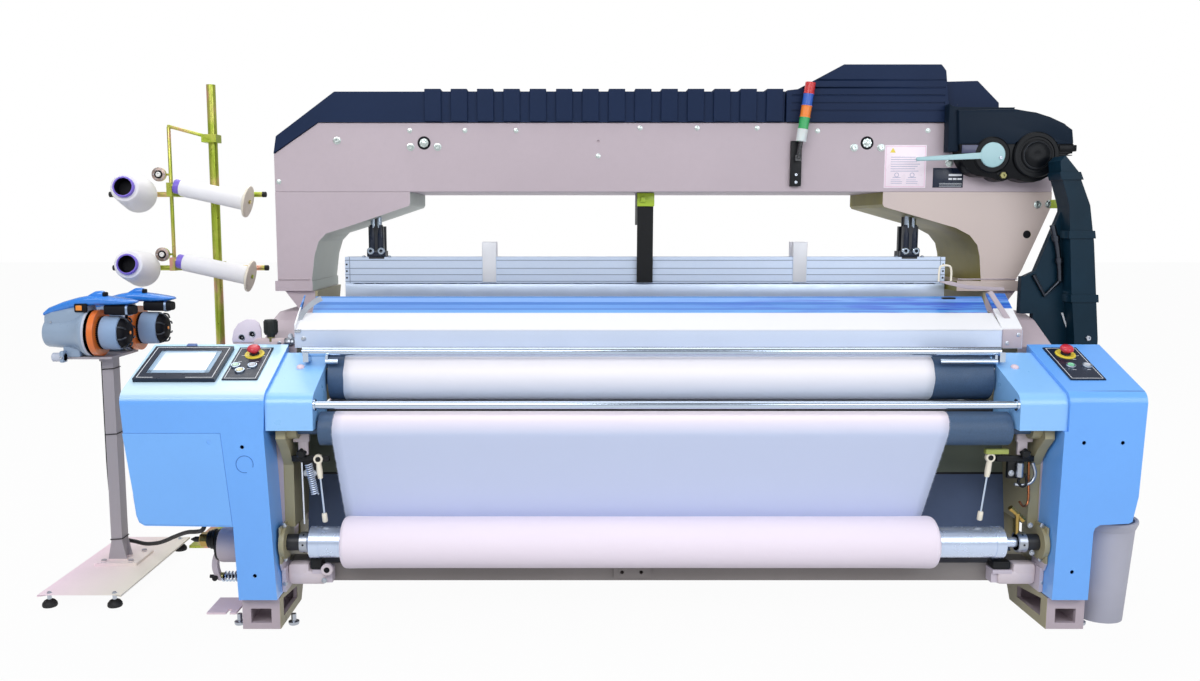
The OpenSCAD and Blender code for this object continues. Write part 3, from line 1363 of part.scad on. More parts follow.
placed() left_side_frame();
placed() right_side_frame();
placed() cross_beams();
placed() apron();
placed() roller_brackets();
placed() roller_fittings();
placed() front_bars();
placed() breast_beam();
placed() breast_covers();
placed() control_box();
placed() box_lower_cover();
placed() operating_panels();
placed() right_cover();
placed() arm_covers();
placed() gantry_beam();
placed() gantry_brackets();
placed() beam_top_cover();
placed() dobby_cover();
placed() dobby_gear_case();
placed() dobby_lever();
placed() side_duct();
placed() signal_tower();
placed() centre_guide();
placed() heald_frame_1();
placed() heald_frame_2();
placed() heald_frame_3();
placed() heald_frame_4();
placed() sley();
placed() reed();
placed() take_up_roller();
placed() guide_roller();
placed() press_roller();
placed() cloth_roll_core();
placed() cloth_roll();
placed() cloth_sheet();
placed() warp_beam();
placed() warp_sheet();
placed() back_rest_roller();
placed() main_shaft();
placed() main_motor();
placed() motor_pulley();
placed() drive_belt();
placed() take_up_clutch();
placed() weft_guides();
placed() left_stop_button();
placed() left_button_start();
placed() left_button_jog();
placed() left_button_mark();
placed() right_stop_button();
placed() right_button_start();
placed() right_button_jog();
placed() weft_stand();
placed() weft_feeders();
placed() winding_disc_1();
placed() winding_disc_2();
placed() supply_cable();
placed() creel();
placed() yarn_packages();
placed() pedal();
placed() waste_bin();
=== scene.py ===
"""The looks of the power loom: materials for every part, and the fine pieces the solids leave out."""

import math

import bmesh
import bpy
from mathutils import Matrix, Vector


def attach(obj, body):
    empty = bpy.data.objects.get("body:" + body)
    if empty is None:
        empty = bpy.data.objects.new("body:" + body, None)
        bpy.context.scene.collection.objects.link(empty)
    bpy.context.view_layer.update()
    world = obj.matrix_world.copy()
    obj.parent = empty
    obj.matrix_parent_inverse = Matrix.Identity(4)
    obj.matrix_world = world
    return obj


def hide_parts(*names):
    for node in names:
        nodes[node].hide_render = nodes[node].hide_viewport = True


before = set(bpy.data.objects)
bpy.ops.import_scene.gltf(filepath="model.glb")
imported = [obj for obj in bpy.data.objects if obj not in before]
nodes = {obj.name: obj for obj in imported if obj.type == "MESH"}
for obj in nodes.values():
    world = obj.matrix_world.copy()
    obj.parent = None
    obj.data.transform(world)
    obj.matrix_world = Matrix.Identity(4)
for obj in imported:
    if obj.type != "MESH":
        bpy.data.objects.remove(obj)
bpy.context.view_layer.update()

# The loom's own millimetres count from the middle between its side frames, from its guard bar and
# from the floor. These two lengths carry them into the frame's metres.
MID_X = -296.0
MID_Y = 814.5
X, Y, Z = range(3)
FRONT = (0, -1, 0)
UP = (0, 0, 1)
RIGHT = (1, 0, 0)


def at(x, y, z):
    """A point in the loom's millimetres as a point of the frame, in metres."""
    return Vector(((x - MID_X) / 1000, (y - MID_Y) / 1000, z / 1000))


def own_mm(point):
    """A point of the frame in the loom's millimetres."""
    return point.x * 1000 + MID_X, point.y * 1000 + MID_Y, point.z * 1000


def place(point):
    """A point of the frame as it is, or one in the loom's millimetres as a point of the frame."""
    return point if isinstance(point, Vector) else at(*point)


def mm(value):
    return value / 1000


# Camera

camera = bpy.data.objects.new("camera", bpy.data.cameras.new("camera"))
bpy.context.scene.collection.objects.link(camera)
camera.location = (-0.025, -3.8055, 1.25)
camera.rotation_euler = (math.radians(83.412), 0, 0)
camera.data.lens = 30
camera.data.sensor_width = 36
camera.data.shift_x = 0.0333
bpy.context.scene.camera = camera

# Mesh helpers


def around(radius, angles):
    """The two offsets of points on a circle, at angles in degrees."""
    return [(radius * math.cos(math.radians(a)), radius * math.sin(math.radians(a))) for a in angles]


def bar(start, end, radius):
    """The profile of a plain round bar."""
    return [(start, 0), (start, radius), (end, radius), (end, 0)]


def axes_for(axis):
    """An axis at length 1, and two directions square to it."""
    axis = Vector(axis).normalized()
    side = Vector(UP) if abs(axis.z) < 0.9 else Vector((0, 1, 0))
    u = axis.cross(side).normalized()
    return axis, u, axis.cross(u)


def circle(centre, u, v, radius, sides):
    """Points round a centre, at a radius in millimetres."""
    turns = [2 * math.pi * k / sides for k in range(sides)]
    return [centre + mm(radius) * (math.cos(a) * u + math.sin(a) * v) for a in turns]


def smooth_path(points, steps):
    """A smooth run of points through the given ones."""
    out = []
    for i in range(len(points) - 1):
        p0, p1, p2 = points[max(i - 1, 0)], points[i], points[i + 1]
        p3 = points[min(i + 2, len(points) - 1)]
        for t in [s / steps for s in range(steps)]:
            out.append(0.5 * (
                2 * p1 + (p2 - p0) * t + (2 * p0 - 5 * p1 + 4 * p2 - p3) * t * t
                + (3 * p1 - p0 - 3 * p2 + p3) * t ** 3))
    out.append(points[-1].copy())
    return out


class Shape:
    """A mesh in the making. Each method that adds a form gives the shape back."""

    def __init__(self):
        self.bm = bmesh.new()

    def ring(self, points):
        return [self.bm.verts.new(p) for p in points]

    def bridge(self, rings):
        """Joins each ring of vertices to the next. A ring of one vertex is a tip."""
        for a, b in zip(rings, rings[1:]):
            sides = max(len(a), len(b))
            for k in range(sides if sides > 1 else 0):
                n = (k + 1) % sides
                corners = a[k % len(a)], b[k % len(b)], b[n % len(b)], a[n % len(a)]
                self.bm.faces.new(list(dict.fromkeys(corners)))
        return self

    def closed(self, rings):
        """Joins rings and closes the first and the last."""
        self.bridge(rings)
        self.bm.faces.new(rings[0])
        self.bm.faces.new(list(reversed(rings[-1])))
        return self

    def bevel(self, edges, offset, segments=2, clamp=False):
        bmesh.ops.bevel(self.bm, geom=edges, offset=mm(offset), segments=segments, affect="EDGES",
                        profile=0.5, clamp_overlap=clamp)

    def lathe(self, profile, start, axis=FRONT, sides=32):
        """Turns (distance, radius) pairs around an axis that begins at a point."""
        axis, u, v = axes_for(axis)
        rings = []
        for distance, radius in profile:
            centre = place(start) + axis * mm(distance)
            rings.append(self.ring(circle(centre, u, v, radius, sides) if radius else [centre]))
        return self.bridge(rings)

    def lathes(self, profile, starts, axis=FRONT, sides=32):
        """The same turned form at several points."""
        for start in starts:
            self.lathe(profile, start, axis, sides)
        return self

    def box(self, lo, hi, bevel=1.5):
        """A box between two corners, with rounded edges."""
        lo, hi = at(*map(min, lo, hi)), at(*map(max, lo, hi))
        made = bmesh.ops.create_cube(self.bm, size=1)["verts"]
        for v in made:
            v.co = Vector([lo[i] if v.co[i] < 0 else hi[i] for i in range(3)])
        if bevel:
            self.bevel(list({e for v in made for e in v.link_edges}), bevel)
        return self

    def prism(self, outline, front, back, bevel=1.5):
        """An outline of (x, z) pairs carried from one depth to another, rounded in front."""
        a, b = [self.ring([at(x, y, z) for x, z in outline]) for y in (front, back)]
        face = self.bm.faces.new(a)
        self.bm.faces.new(list(reversed(b)))
        self.bridge([a, b])
        if bevel:
            self.bevel(list(face.edges), bevel)
        return self

    def tube(self, points, radius, sides=8, steps=0):
        """A round tube along points, on a smooth run through them where steps are given."""
        path = [place(p) for p in points]
        if steps:
            path = smooth_path(path, steps)
        u = axes_for(path[1] - path[0])[1]
        rings = []
        for i, p in enumerate(path):
            t = (path[min(i + 1, len(path) - 1)] - path[max(i - 1, 0)]).normalized()
            u = (u - t * u.dot(t)).normalized()
            rings.append(self.ring(circle(p, u, t.cross(u), radius, sides)))
        return self.closed(rings)

    def loft(self, sections, sides=20):
        """A closed shell through (x, y, z_low, z_top, half_width, squareness) sections."""
        rings = []
        for x, y, low, top, half, square in sections:
            points = []
            for k in range(sides):
                c, s = math.cos(2 * math.pi * k / sides), math.sin(2 * math.pi * k / sides)
                across = math.copysign(abs(c) ** (2 / square), c)
                rise = math.copysign(abs(s) ** (2 / square), s)
                points.append(at(x, y + half * across, (low + top) / 2 + (top - low) / 2 * rise))
            rings.append(self.ring(points))
        return self.closed(rings)

    def bolt(self, x, y, z, size=8, axis=FRONT):
        """A hex bolt head on its washer, seated at a point and standing out along an axis."""
        washer, head = size * 1.35, size * 0.85
        self.lathe([(-1, 0), (-1, washer), (1.2, washer), (1.6, size * 1.2), (1.6, 0)], (x, y, z), axis, 20)
        return self.lathe([(1, 0), (1, size), (size * 0.7, size), (head, size * 0.82), (head, 0)],
                          (x, y, z), axis, 6)

    def screw(self, x, y, z, size):
        """A round-headed screw with a hexagon socket, facing the front."""
        h = size * 0.75
        return self.lathe([(-1, 0), (-1, size), (h * 0.7, size), (h, size * 0.8), (h, size * 0.45),
                           (h * 0.4, size * 0.42), (h * 0.4, 0)], (x, y, z), FRONT, 18)

    def slab(self, x, y, lo, hi, bevel=0.6):
        """A flat block on a sloping panel between two (u, v, h) corners."""
        before = set(self.bm.verts)
        self.box(lo, hi, bevel)
        for v in self.bm.verts:
            if v not in before:
                v.co = on_slope(x, y, *own_mm(v.co))
        return self

    def fit(self, name, material, slot, body="loom_frame", stands_for=None, smooth=True):
        """Makes the shape a piece that rides on a body. stands_for names the CAD piece it replaces."""
        mesh = bpy.data.meshes.new(name)
        bmesh.ops.recalc_face_normals(self.bm, faces=self.bm.faces)
        self.bm.to_mesh(mesh)
        self.bm.free()
        obj = bpy.data.objects.new(name, mesh)
        bpy.context.scene.collection.objects.link(obj)
        mesh.materials.append(material.mat)
        if smooth:
            mesh.shade_smooth()
            mesh.set_sharp_from_angle(angle=math.radians(35))
        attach(obj, body)
        if stands_for:
            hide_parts(stands_for)
        return obj


# Material helpers

SOCKETS = {
    "colour": "Base Color", "rough": "Roughness", "metal": "Metallic", "coat": "Coat Weight",
    "coat_rough": "Coat Roughness", "sheen": "Sheen Weight", "specular": "Specular IOR Level",
    "sss": "Subsurface Weight", "glow": "Emission Strength", "glow_colour": "Emission Color",
    "normal": "Normal",
}


def linear(rgb):
    """A colour given as 0 to 255 on screen, as the shader wants it."""
    parts = [c / 255 for c in rgb]
    return (*[c / 12.92 if c <= 0.04045 else ((c + 0.055) / 1.055) ** 2.4 for c in parts], 1.0)


def ready(value):
    """Any value as the shader wants it. Three numbers are a colour on screen."""
    return linear(value) if isinstance(value, tuple) and len(value) == 3 else value


def shade(colour, factor):
    return tuple(min(1.0, c * factor) for c in colour[:3]) + (1.0,)


class Shader:
    """A small builder for node materials in the frame's coordinates."""

    def __init__(self, name):
        self.mat = bpy.data.materials.new(name)
        self.mat.use_nodes = True
        self.tree = self.mat.node_tree
        self.surface = self.tree.nodes["Principled BSDF"].inputs
        self.coords = self.tree.nodes.new("ShaderNodeTexCoord").outputs["Object"]

    def feed(self, socket, value):
        """Gives an input a value, or the output of another node."""
        if isinstance(value, bpy.types.NodeSocket):
            self.tree.links.new(value, socket)
        else:
            socket.default_value = value

    def node(self, kind, inputs=(), **settings):
        """Adds a node and gives back its outputs."""
        made = self.tree.nodes.new(kind)
        for key, value in settings.items():
            setattr(made, key, value)
        for key, value in dict(inputs).items():
            self.feed(made.inputs[key], value)
        return made.outputs

    def set(self, **values):
        """Sets inputs of the surface by their short names."""
        for key, value in values.items():
            self.feed(self.surface[SOCKETS[key]], ready(value))
        return self

    def mapped(self, scale=(1, 1, 1), turn=(0, 0, 0)):
        return self.node("ShaderNodeMapping", {"Vector": self.coords, "Scale": scale, "Rotation": turn})[0]

    def noise(self, scale, detail=3.0, rough=0.5, stretch=None):
        inputs = {"Vector": self.mapped(stretch) if stretch else self.coords, "Scale": scale,
                  "Detail": detail, "Roughness": rough}
        return self.node("ShaderNodeTexNoise", inputs)["Fac"]

    def waves(self, scale, axis="X", distortion=0.0, detail=0.0, turn=None):
        inputs = {"Vector": self.mapped(turn=turn) if turn else self.coords, "Scale": scale,
                  "Distortion": distortion, "Detail": detail, "Detail Scale": 2.0}
        return self.node("ShaderNodeTexWave", inputs, wave_type="BANDS", bands_direction=axis)["Fac"]

    def span(self, value, low, high, a=0.0, b=1.0):
        """Carries a value from the range low to high over to the range a to b."""
        inputs = {"Value": value, "From Min": low, "From Max": high, "To Min": a, "To Max": b}
        return self.node("ShaderNodeMapRange", inputs)[0]

    def maths(self, operation, a, b):
        return self.node("ShaderNodeMath", {0: a, 1: b}, operation=operation)[0]

    def mix(self, factor, a, b):
        """Mixes two colours."""
        return self.node("ShaderNodeMix", {0: factor, 6: ready(a), 7: ready(b)}, data_type="RGBA")[2]

    def shades(self, field, low, high, base, dark, light):
        """A base colour that goes from a darker to a lighter shade as a field rises."""
        return self.mix(self.span(field, low, high), shade(base, dark), shade(base, light))

    def over(self, factor, value):
        """Lays a colour over the present one, by a factor."""
        now = self.surface["Base Color"].links[0].from_socket
        return self.set(colour=self.mix(factor, now, value))

    def bump(self, height, strength, distance, **over):
        """Raises the surface by a height. A bump that lies under this one is given as Normal."""
        inputs = {"Strength": strength, "Distance": distance, "Height": height, **over}
        normal = self.node("ShaderNodeBump", inputs)[0]
        self.set(normal=normal)
        return normal

    def part(self, axis):
        """One coordinate of the surface point, in metres of the frame."""
        return self.node("ShaderNodeSeparateXYZ", {0: self.coords})[axis]

    def facing(self, axis):
        """One coordinate of the direction that the surface faces."""
        normal = self.node("ShaderNodeNewGeometry")["True Normal"]
        return self.node("ShaderNodeSeparateXYZ", {0: normal})[axis]

    def past(self, axis, limit):
        """1 where the point lies past a limit in the loom's millimetres, else 0."""
        return self.maths("GREATER_THAN", self.part(axis), at(limit, limit, limit)[axis])

    def short(self, axis, limit):
        """1 where the point lies short of a limit in the loom's millimetres, else 0."""
        return self.maths("LESS_THAN", self.part(axis), at(limit, limit, limit)[axis])

    def inside(self, **spans):
        """1 within spans of the loom's millimetres, such as z=(422, 429), else 0."""
        tests = []
        for name, (low, high) in spans.items():
            axis = "xyz".index(name)
            tests += [self.past(axis, low), self.short(axis, high)]
        out = tests[0]
        for test in tests[1:]:
            out = self.maths("MULTIPLY", out, test)
        return out


def paint(name, rgb, rough=0.4, coat=0.0, vary=0.06, grain=900.0, grain_depth=0.15, specular=0.5):
    """Sprayed paint: a slow drift of tone, fine orange peel and dust in the gloss."""
    s = Shader(name)
    base = linear(rgb)
    tone = s.shades(s.noise(2.2, 4), 0.3, 0.7, base, 1 - vary, 1 + vary)
    fleck = s.span(s.noise(55, 5, 0.6), 0.45, 0.8, 0.0, 0.35)
    s.set(colour=s.mix(fleck, tone, shade(base, 0.93)), coat=coat, coat_rough=0.12, specular=specular,
          rough=s.span(s.noise(14, 4), 0.2, 0.8, rough - 0.02, rough + 0.04))
    s.bump(s.noise(grain, 2), grain_depth, 0.0004)
    return s


def bare_metal(name, rgb, rough=0.3, stretch=(1, 1, 1), scale=260.0, vary=0.1, depth=0.12, drift=1.0):
    """Bare metal with a drawn or ground grain."""
    s = Shader(name)
    lines = s.noise(scale, 3, 0.6, stretch)
    s.set(colour=s.shades(lines, 0.3, 0.7, linear(rgb), 1 - vary, 1 + vary * 0.5), metal=1.0,
          rough=s.span(s.noise(30, 4), 0.25, 0.75, rough - 0.07 * drift, rough + 0.1 * drift))
    s.bump(lines, depth, 0.0003)
    return s


def plastic(name, rgb, rough=0.45, grain=1400.0, depth=0.12, vary=0.05, coat=0.0, specular=0.5):
    """Moulded plastic with a fine texture."""
    s = Shader(name)
    s.set(colour=s.shades(s.noise(6, 3), 0.3, 0.7, linear(rgb), 1 - vary, 1 + vary),
          coat=coat, coat_rough=0.08, specular=specular,
          rough=s.span(s.noise(40, 3), 0.3, 0.7, rough - 0.05, rough + 0.07))
    s.bump(s.noise(grain, 2), depth, 0.0003)
    return s


# Paints, metals and plastics

FRAME_TONE = (188, 174, 182)
BLUE = (108, 174, 253)

frame_paint = paint("frame_paint", FRAME_TONE, 0.42, vary=0.04)
frame_paint_fine = paint("frame_paint_fine", (188, 175, 182), 0.45, vary=0.05)
blue_paint = paint("blue_paint", BLUE, 0.3, coat=0.35, vary=0.035, grain=700)
box_cover_paint = paint("box_cover_paint", (118, 181, 254), 0.32, coat=0.3, vary=0.03, grain=700)
# The arm covers' blue is written lighter than the box's, as painted highlight.
arm_paint = paint("arm_paint", (142, 198, 254), 0.28, coat=0.45, vary=0.03, grain=700)
navy_paint = paint("navy_paint", (24, 40, 70), 0.45, vary=0.12, grain=500, grain_depth=0.2, specular=0.13)
black_paint = paint("black_paint", (22, 24, 28), 0.42, vary=0.15, specular=0.25)
duct_black = plastic("duct_black", (15, 42, 58), 0.38, 900, 0.2, 0.15, specular=0.16)
guide_black = plastic("guide_black", (16, 18, 22), 0.4, specular=0.25)
plate_tone = paint("plate_tone", (230, 208, 218), 0.4, vary=0.03)
chrome = bare_metal("chrome", (192, 206, 224), 0.14, (1, 40, 40), 60, 0.03, 0.008, 0.2)
steel = bare_metal("steel", (176, 182, 192), 0.3, (1, 30, 30), 120)
dark_steel = bare_metal("dark_steel", (70, 74, 82), 0.36, (1, 12, 12), 120)
aluminium = bare_metal("aluminium", (212, 224, 244), 0.42, (1, 60, 60), 90, 0.05, 0.08).set(metal=0.55)
roll_core = bare_metal("roll_core", (206, 220, 244), 0.27, (60, 1, 1), 12, 0.05, 0.01, 0.1).set(metal=0.7)
bolt_steel = bare_metal("bolt_steel", (190, 196, 206), 0.28, scale=300, depth=0.06)
brass = bare_metal("brass", (176, 148, 84), 0.3, scale=300)
olive = bare_metal("olive_zinc", (138, 134, 92), 0.38, scale=200)
copper = bare_metal("copper", (190, 120, 80), 0.25, scale=200)
cast = paint("cast", (214, 204, 196), 0.5, vary=0.07, grain=300, grain_depth=0.3)
rubber = plastic("rubber", (20, 20, 22), 0.62, 800, 0.2, 0.2)
motor_paint = paint("motor_paint", (92, 108, 128), 0.4, vary=0.08)
lever_grey = paint("lever_grey", (176, 190, 180), 0.4, vary=0.05)
bin_plastic = plastic("bin_plastic", (178, 178, 192), 0.5, 500, 0.15, 0.04)
button_red = plastic("button_red", (206, 42, 60), 0.3, coat=0.4)
button_yellow = plastic("button_yellow", (236, 214, 70), 0.35)
button_green = plastic("button_green", (196, 226, 206), 0.3, coat=0.4)
button_grey = plastic("button_grey", (196, 200, 208), 0.3, coat=0.4)
button_cream = plastic("button_cream", (232, 226, 186), 0.3, coat=0.4)
black_gloss = plastic("black_gloss", (24, 34, 54), 0.3, coat=0.12, specular=0.3)
beam_tone = paint("beam_tone", (136, 130, 128), 0.5, vary=0.08)
disc_orange = plastic("disc_orange", (232, 118, 44), 0.35, coat=0.3)
line_white = plastic("line_white", (232, 236, 242), 0.4)
washer_tone = bare_metal("washer_tone", (196, 206, 204), 0.3, scale=300, depth=0.05)
hole_black = plastic("hole_black", (14, 15, 22), 0.6, specular=0.2)
cream = plastic("disc_cream", (244, 236, 218), 0.5)
fit_black = plastic("fitting_black", (16, 18, 22), 0.4, specular=0.3)
beige = paint("beige_cast", (216, 204, 210), 0.5, vary=0.05, grain=300, grain_depth=0.25)

# Paints of two or more tones, some of them with painted shade

apron_grey = paint("apron_grey", (90, 106, 138), 0.5, vary=0.08, specular=0.25)
apron_grey.over(apron_grey.past(Z, 426), (116, 124, 112))
apron_grey.over(apron_grey.inside(z=(422, 429)), (26, 28, 34))
inner_tone = paint("inner_tone", FRAME_TONE, 0.45, vary=0.05)
inner_tone.over(inner_tone.inside(x=(-1191.5, 1191.5)), (164, 156, 124))
# Roller brackets: khaki above 205 mm as painted shade, a pale frame tone below, and a dark square round the
# cloth roll's axis.
plate_khaki = paint("plate_khaki", (166, 158, 126), 0.45, vary=0.1)
plate_khaki.over(plate_khaki.short(Z, 205), (204, 194, 206))
plate_khaki.over(plate_khaki.inside(x=(-1173, 1173), y=(20, 80), z=(233, 293)), (26, 28, 34))
# The weft stand: the plate is written light as lit from above, pink at the left and cream at the right; the
# post above it is darker as painted shade; the rubber below is black.
stand_tone = paint("stand_tone", (248, 224, 234), 0.4, vary=0.03)
stand_tone.over(stand_tone.span(stand_tone.part(X), -1.72, -1.42), (240, 236, 216))
# Painted shade on the post above the plate.
stand_tone.over(stand_tone.past(Z, 60), (172, 166, 172))
stand_tone.over(stand_tone.short(Z, 38.5), (30, 28, 32))


def bracket_paint():
    """The brackets' front is the frame's beige, warmer towards the right; their inner and lower faces carry
    painted shade, olive on the right bracket and grey-green on the left one.
    """
    s = paint("bracket_paint", FRAME_TONE, 0.42, vary=0.04)
    s.over(s.span(s.part(X), 0.6, 1.2), (206, 190, 184))
    # Painted shade: olive on the right bracket's inner and lower faces, grey-green on the left one's.
    painted_shade_olive = s.mix(s.span(s.noise(6, 3), 0.3, 0.7), (104, 96, 16), (136, 126, 34))
    inward = s.maths("LESS_THAN", s.maths("MULTIPLY", s.part(X), s.facing(X)), -0.1)
    below = s.maths("MULTIPLY", s.maths("LESS_THAN", s.facing(Z), -0.3), s.inside(x=(-1203, 1082)))
    return s.over(s.maths("MAXIMUM", inward, below), s.mix(s.past(X, MID_X), (176, 184, 176), painted_shade_olive))


def box_paint():
    """The box's blue paint, with a painted highlight: pale blue on its upper faces, where the window light
    lies.
    """
    s = paint("box_paint", BLUE, 0.3, coat=0.35, vary=0.035, grain=700)
    # Painted highlight: the upper faces turn pale blue, paler at the front than at the back.
    pale = s.mix(s.span(s.part(Y), -0.8, -0.5), (206, 233, 250), (184, 228, 255))
    return s.over(s.span(s.facing(Z), 0.3, 0.75), pale)


def front_white():
    """The breast cover: white sheet with a blue clear shield behind it."""
    s = Shader("breast_cover_paint")
    shield = s.mix(s.span(s.noise(5, 4, 0.5, (0.3, 4, 4)), 0.3, 0.7), (72, 136, 214), (88, 152, 226))
    for low, high, rgb in ((1004, 1010, (70, 134, 206)), (992, 1004, (116, 166, 232)),
                           (983, 991, (34, 112, 196)), (967, 973, (62, 124, 204)),
                           (950, 966, (98, 164, 230))):
        shield = s.mix(s.inside(z=(low, high)), shield, rgb)
    streaks = s.span(s.noise(9, 5, 0.6, (0.5, 14, 14)), 0.45, 0.6)
    shield = s.mix(s.maths("MULTIPLY", streaks, s.span(s.part(X), 0.2, 1.3, 0.1, 0.8)), shield, (28, 70, 196))
    s.set(colour=s.mix(s.past(Y, 340), (240, 241, 245), shield), coat=0.3, coat_rough=0.1,
          rough=s.span(s.noise(12, 3), 0.2, 0.8, 0.29, 0.33))
    s.bump(s.noise(600, 2), 0.08, 0.0003)
    return s


def heald_alloy(low_blocks):
    """Anodised heald frame rails, with white guide blocks and black rod clevises."""
    s = Shader("heald_alloy_" + str(low_blocks))
    rail_top = 1135 - 90 * low_blocks
    lines = s.noise(80, 3, 0.6, (1, 60, 60))
    alloy = s.mix(s.span(lines, 0.3, 0.7), (200, 216, 240), (216, 228, 248))
    blocks = s.maths("MAXIMUM", s.inside(x=(-604, -550)), s.inside(x=(520, 574)))
    white = s.maths("MULTIPLY", blocks, s.past(Z, rail_top + 1.0))
    ends = s.maths("MAXIMUM", s.inside(x=(-1013, -957)), s.inside(x=(916, 972)))
    black = s.maths("MULTIPLY", ends, s.past(Z, rail_top - 6.5))
    plain = s.maths("SUBTRACT", 1.0, s.maths("MAXIMUM", white, black))
    s.set(colour=s.mix(black, s.mix(white, alloy, (232, 232, 238)), (30, 34, 42)),
          metal=s.maths("MULTIPLY", plain, 0.5), rough=s.span(s.noise(30, 3), 0.3, 0.7, 0.32, 0.42))
    s.bump(lines, 0.08, 0.0003)
    return s


def tower_lamps():
    """Signal tower: coloured lamp rings up a leaning mast, over a black foot."""
    s = Shader("tower_lamps")
    lean = math.radians(8)
    foot = at(502, 516, 1478)
    x = s.maths("MULTIPLY", s.maths("SUBTRACT", s.part(X), foot.x), math.sin(lean))
    z = s.maths("MULTIPLY", s.maths("SUBTRACT", s.part(Z), foot.z), math.cos(lean))
    along = s.maths("ADD", x, z)
    colour = (26, 28, 34)
    for start, rgb in ((58, (214, 222, 222)), (101, (52, 170, 96)), (141, (240, 132, 44)),
                       (181, (40, 92, 190)), (221, (200, 40, 44))):
        colour = s.mix(s.maths("GREATER_THAN", along, mm(start)), colour, rgb)
    s.set(colour=colour, rough=0.24, coat=0.4, sss=0.08)
    s.bump(s.waves(320, "Z"), 0.3, 0.0006)
    return s


def feeder_colours():
    """Weft feeders in the CAD: grey body below, blue cover above."""
    s = Shader("feeder_body")
    grain = s.shades(s.noise(9, 3), 0.3, 0.7, linear((150, 172, 204)), 0.94, 1.04)
    s.set(colour=s.mix(s.past(Z, 942), grain, (46, 124, 214)), coat=0.3, coat_rough=0.1,
          rough=s.span(s.noise(30, 3), 0.3, 0.7, 0.28, 0.4))
    s.bump(s.noise(1200, 2), 0.1, 0.0003)
    return s


def zinc():
    """Yellow passivated zinc with its drifting rainbow film."""
    s = Shader("zinc")
    drift = s.noise(9, 4, 0.6, (1, 1, 0.5))
    gold = s.mix(s.span(drift, 0.4, 0.5), (222, 164, 142), (188, 188, 92))
    s.set(colour=s.mix(s.span(drift, 0.51, 0.6), gold, (160, 178, 58)), metal=0.72,
          rough=s.span(s.noise(40, 3), 0.3, 0.7, 0.26, 0.42))
    s.bump(s.noise(500, 2), 0.08, 0.0003)
    return s


# Cloth, yarn and grip

THREADS = 2200


def roller_grip():
    """Grip cloth glued round the rollers: fine pimples on grey blue rubber."""
    s = Shader("roller_grip")
    dots = s.node("ShaderNodeTexVoronoi", {"Vector": s.coords, "Scale": 420})["Distance"]
    s.set(colour=s.shades(dots, 0.1, 0.7, linear((66, 92, 124)), 1.15, 0.82),
          rough=s.span(s.noise(20, 3), 0.3, 0.7, 0.42, 0.6))
    s.bump(dots, 0.5, 0.0006)
    return s


def woven(name, rgb, drift=0.03, painted_light=False):
    """Plain weave: warp and weft threads cross, with slow bands where the beat-up changed."""
    s = Shader(name)
    cross = s.maths("MULTIPLY", s.waves(THREADS, "X"), s.waves(THREADS, "Z"))
    base = linear(rgb)
    tone = s.shades(s.noise(3.0, 4, 0.6, (0.4, 1, 3)), 0.3, 0.7, base, 1 - drift, 1 + drift * 0.4)
    if painted_light:
        # Painted light and shade: the cloth is bluish low down as shade and pink-white higher up as lit; the
        # front run and the run further back turn at their own heights.
        hanging = s.mix(s.span(s.part(Z), 0.615, 0.67), (202, 214, 243), (253, 240, 249))
        upper = s.mix(s.span(s.part(Z), 0.715, 0.79), (206, 220, 236), (254, 250, 254))
        tone = s.mix(s.past(Y, 130), hanging, upper)
    s.set(colour=s.mix(s.span(cross, 0.0, 1.0, 0.0, 0.3), tone, shade(base, 0.94)), rough=0.82, sheen=0.25)
    creases = s.bump(s.noise(7, 3, 0.5, (0.5, 1, 2)), 0.12, 0.004)
    s.bump(cross, 0.35, 0.0003, Normal=creases)
    return s


def warp_threads():
    """The sheet of warp threads: fine lines that run from the beam to the reed."""
    s = Shader("warp_threads")
    lines = s.waves(900, "X", 1.0, 1.0)
    base = linear((236, 236, 242))
    s.set(colour=s.mix(lines, shade(base, 0.84), base), rough=0.75, sheen=0.2)
    s.bump(lines, 0.5, 0.0005)
    return s


def wound(name, rgb, pitch=900.0, angle=0.35, axis="X"):
    """Yarn wound on a package: crossed layers at a low angle."""
    s = Shader(name)
    layers = [s.waves(pitch, axis, 0.6, 1.0, (0, turn, turn)) for turn in (angle, -angle)]
    both = s.maths("MAXIMUM", *layers)
    s.set(colour=s.shades(both, 0.3, 1.0, linear(rgb), 0.9, 1), rough=0.8, sheen=0.3)
    s.bump(both, 0.45, 0.0005)
    return s


cloth_white = woven("cloth_white", (238, 237, 248), painted_light=True)
# The roll is the same cloth, written pinker and lighter as painted light.
roll_white = woven("roll_white", (248, 236, 249), 0.02)
yarn_x = wound("yarn_on_tube", (253, 252, 255))
yarn_y = wound("yarn_on_cone", (253, 251, 253), axis="Y")
zinc_film = zinc()
grip = roller_grip()
heald_high = heald_alloy(0)
heald_low = heald_alloy(1)

# Materials of the CAD nodes

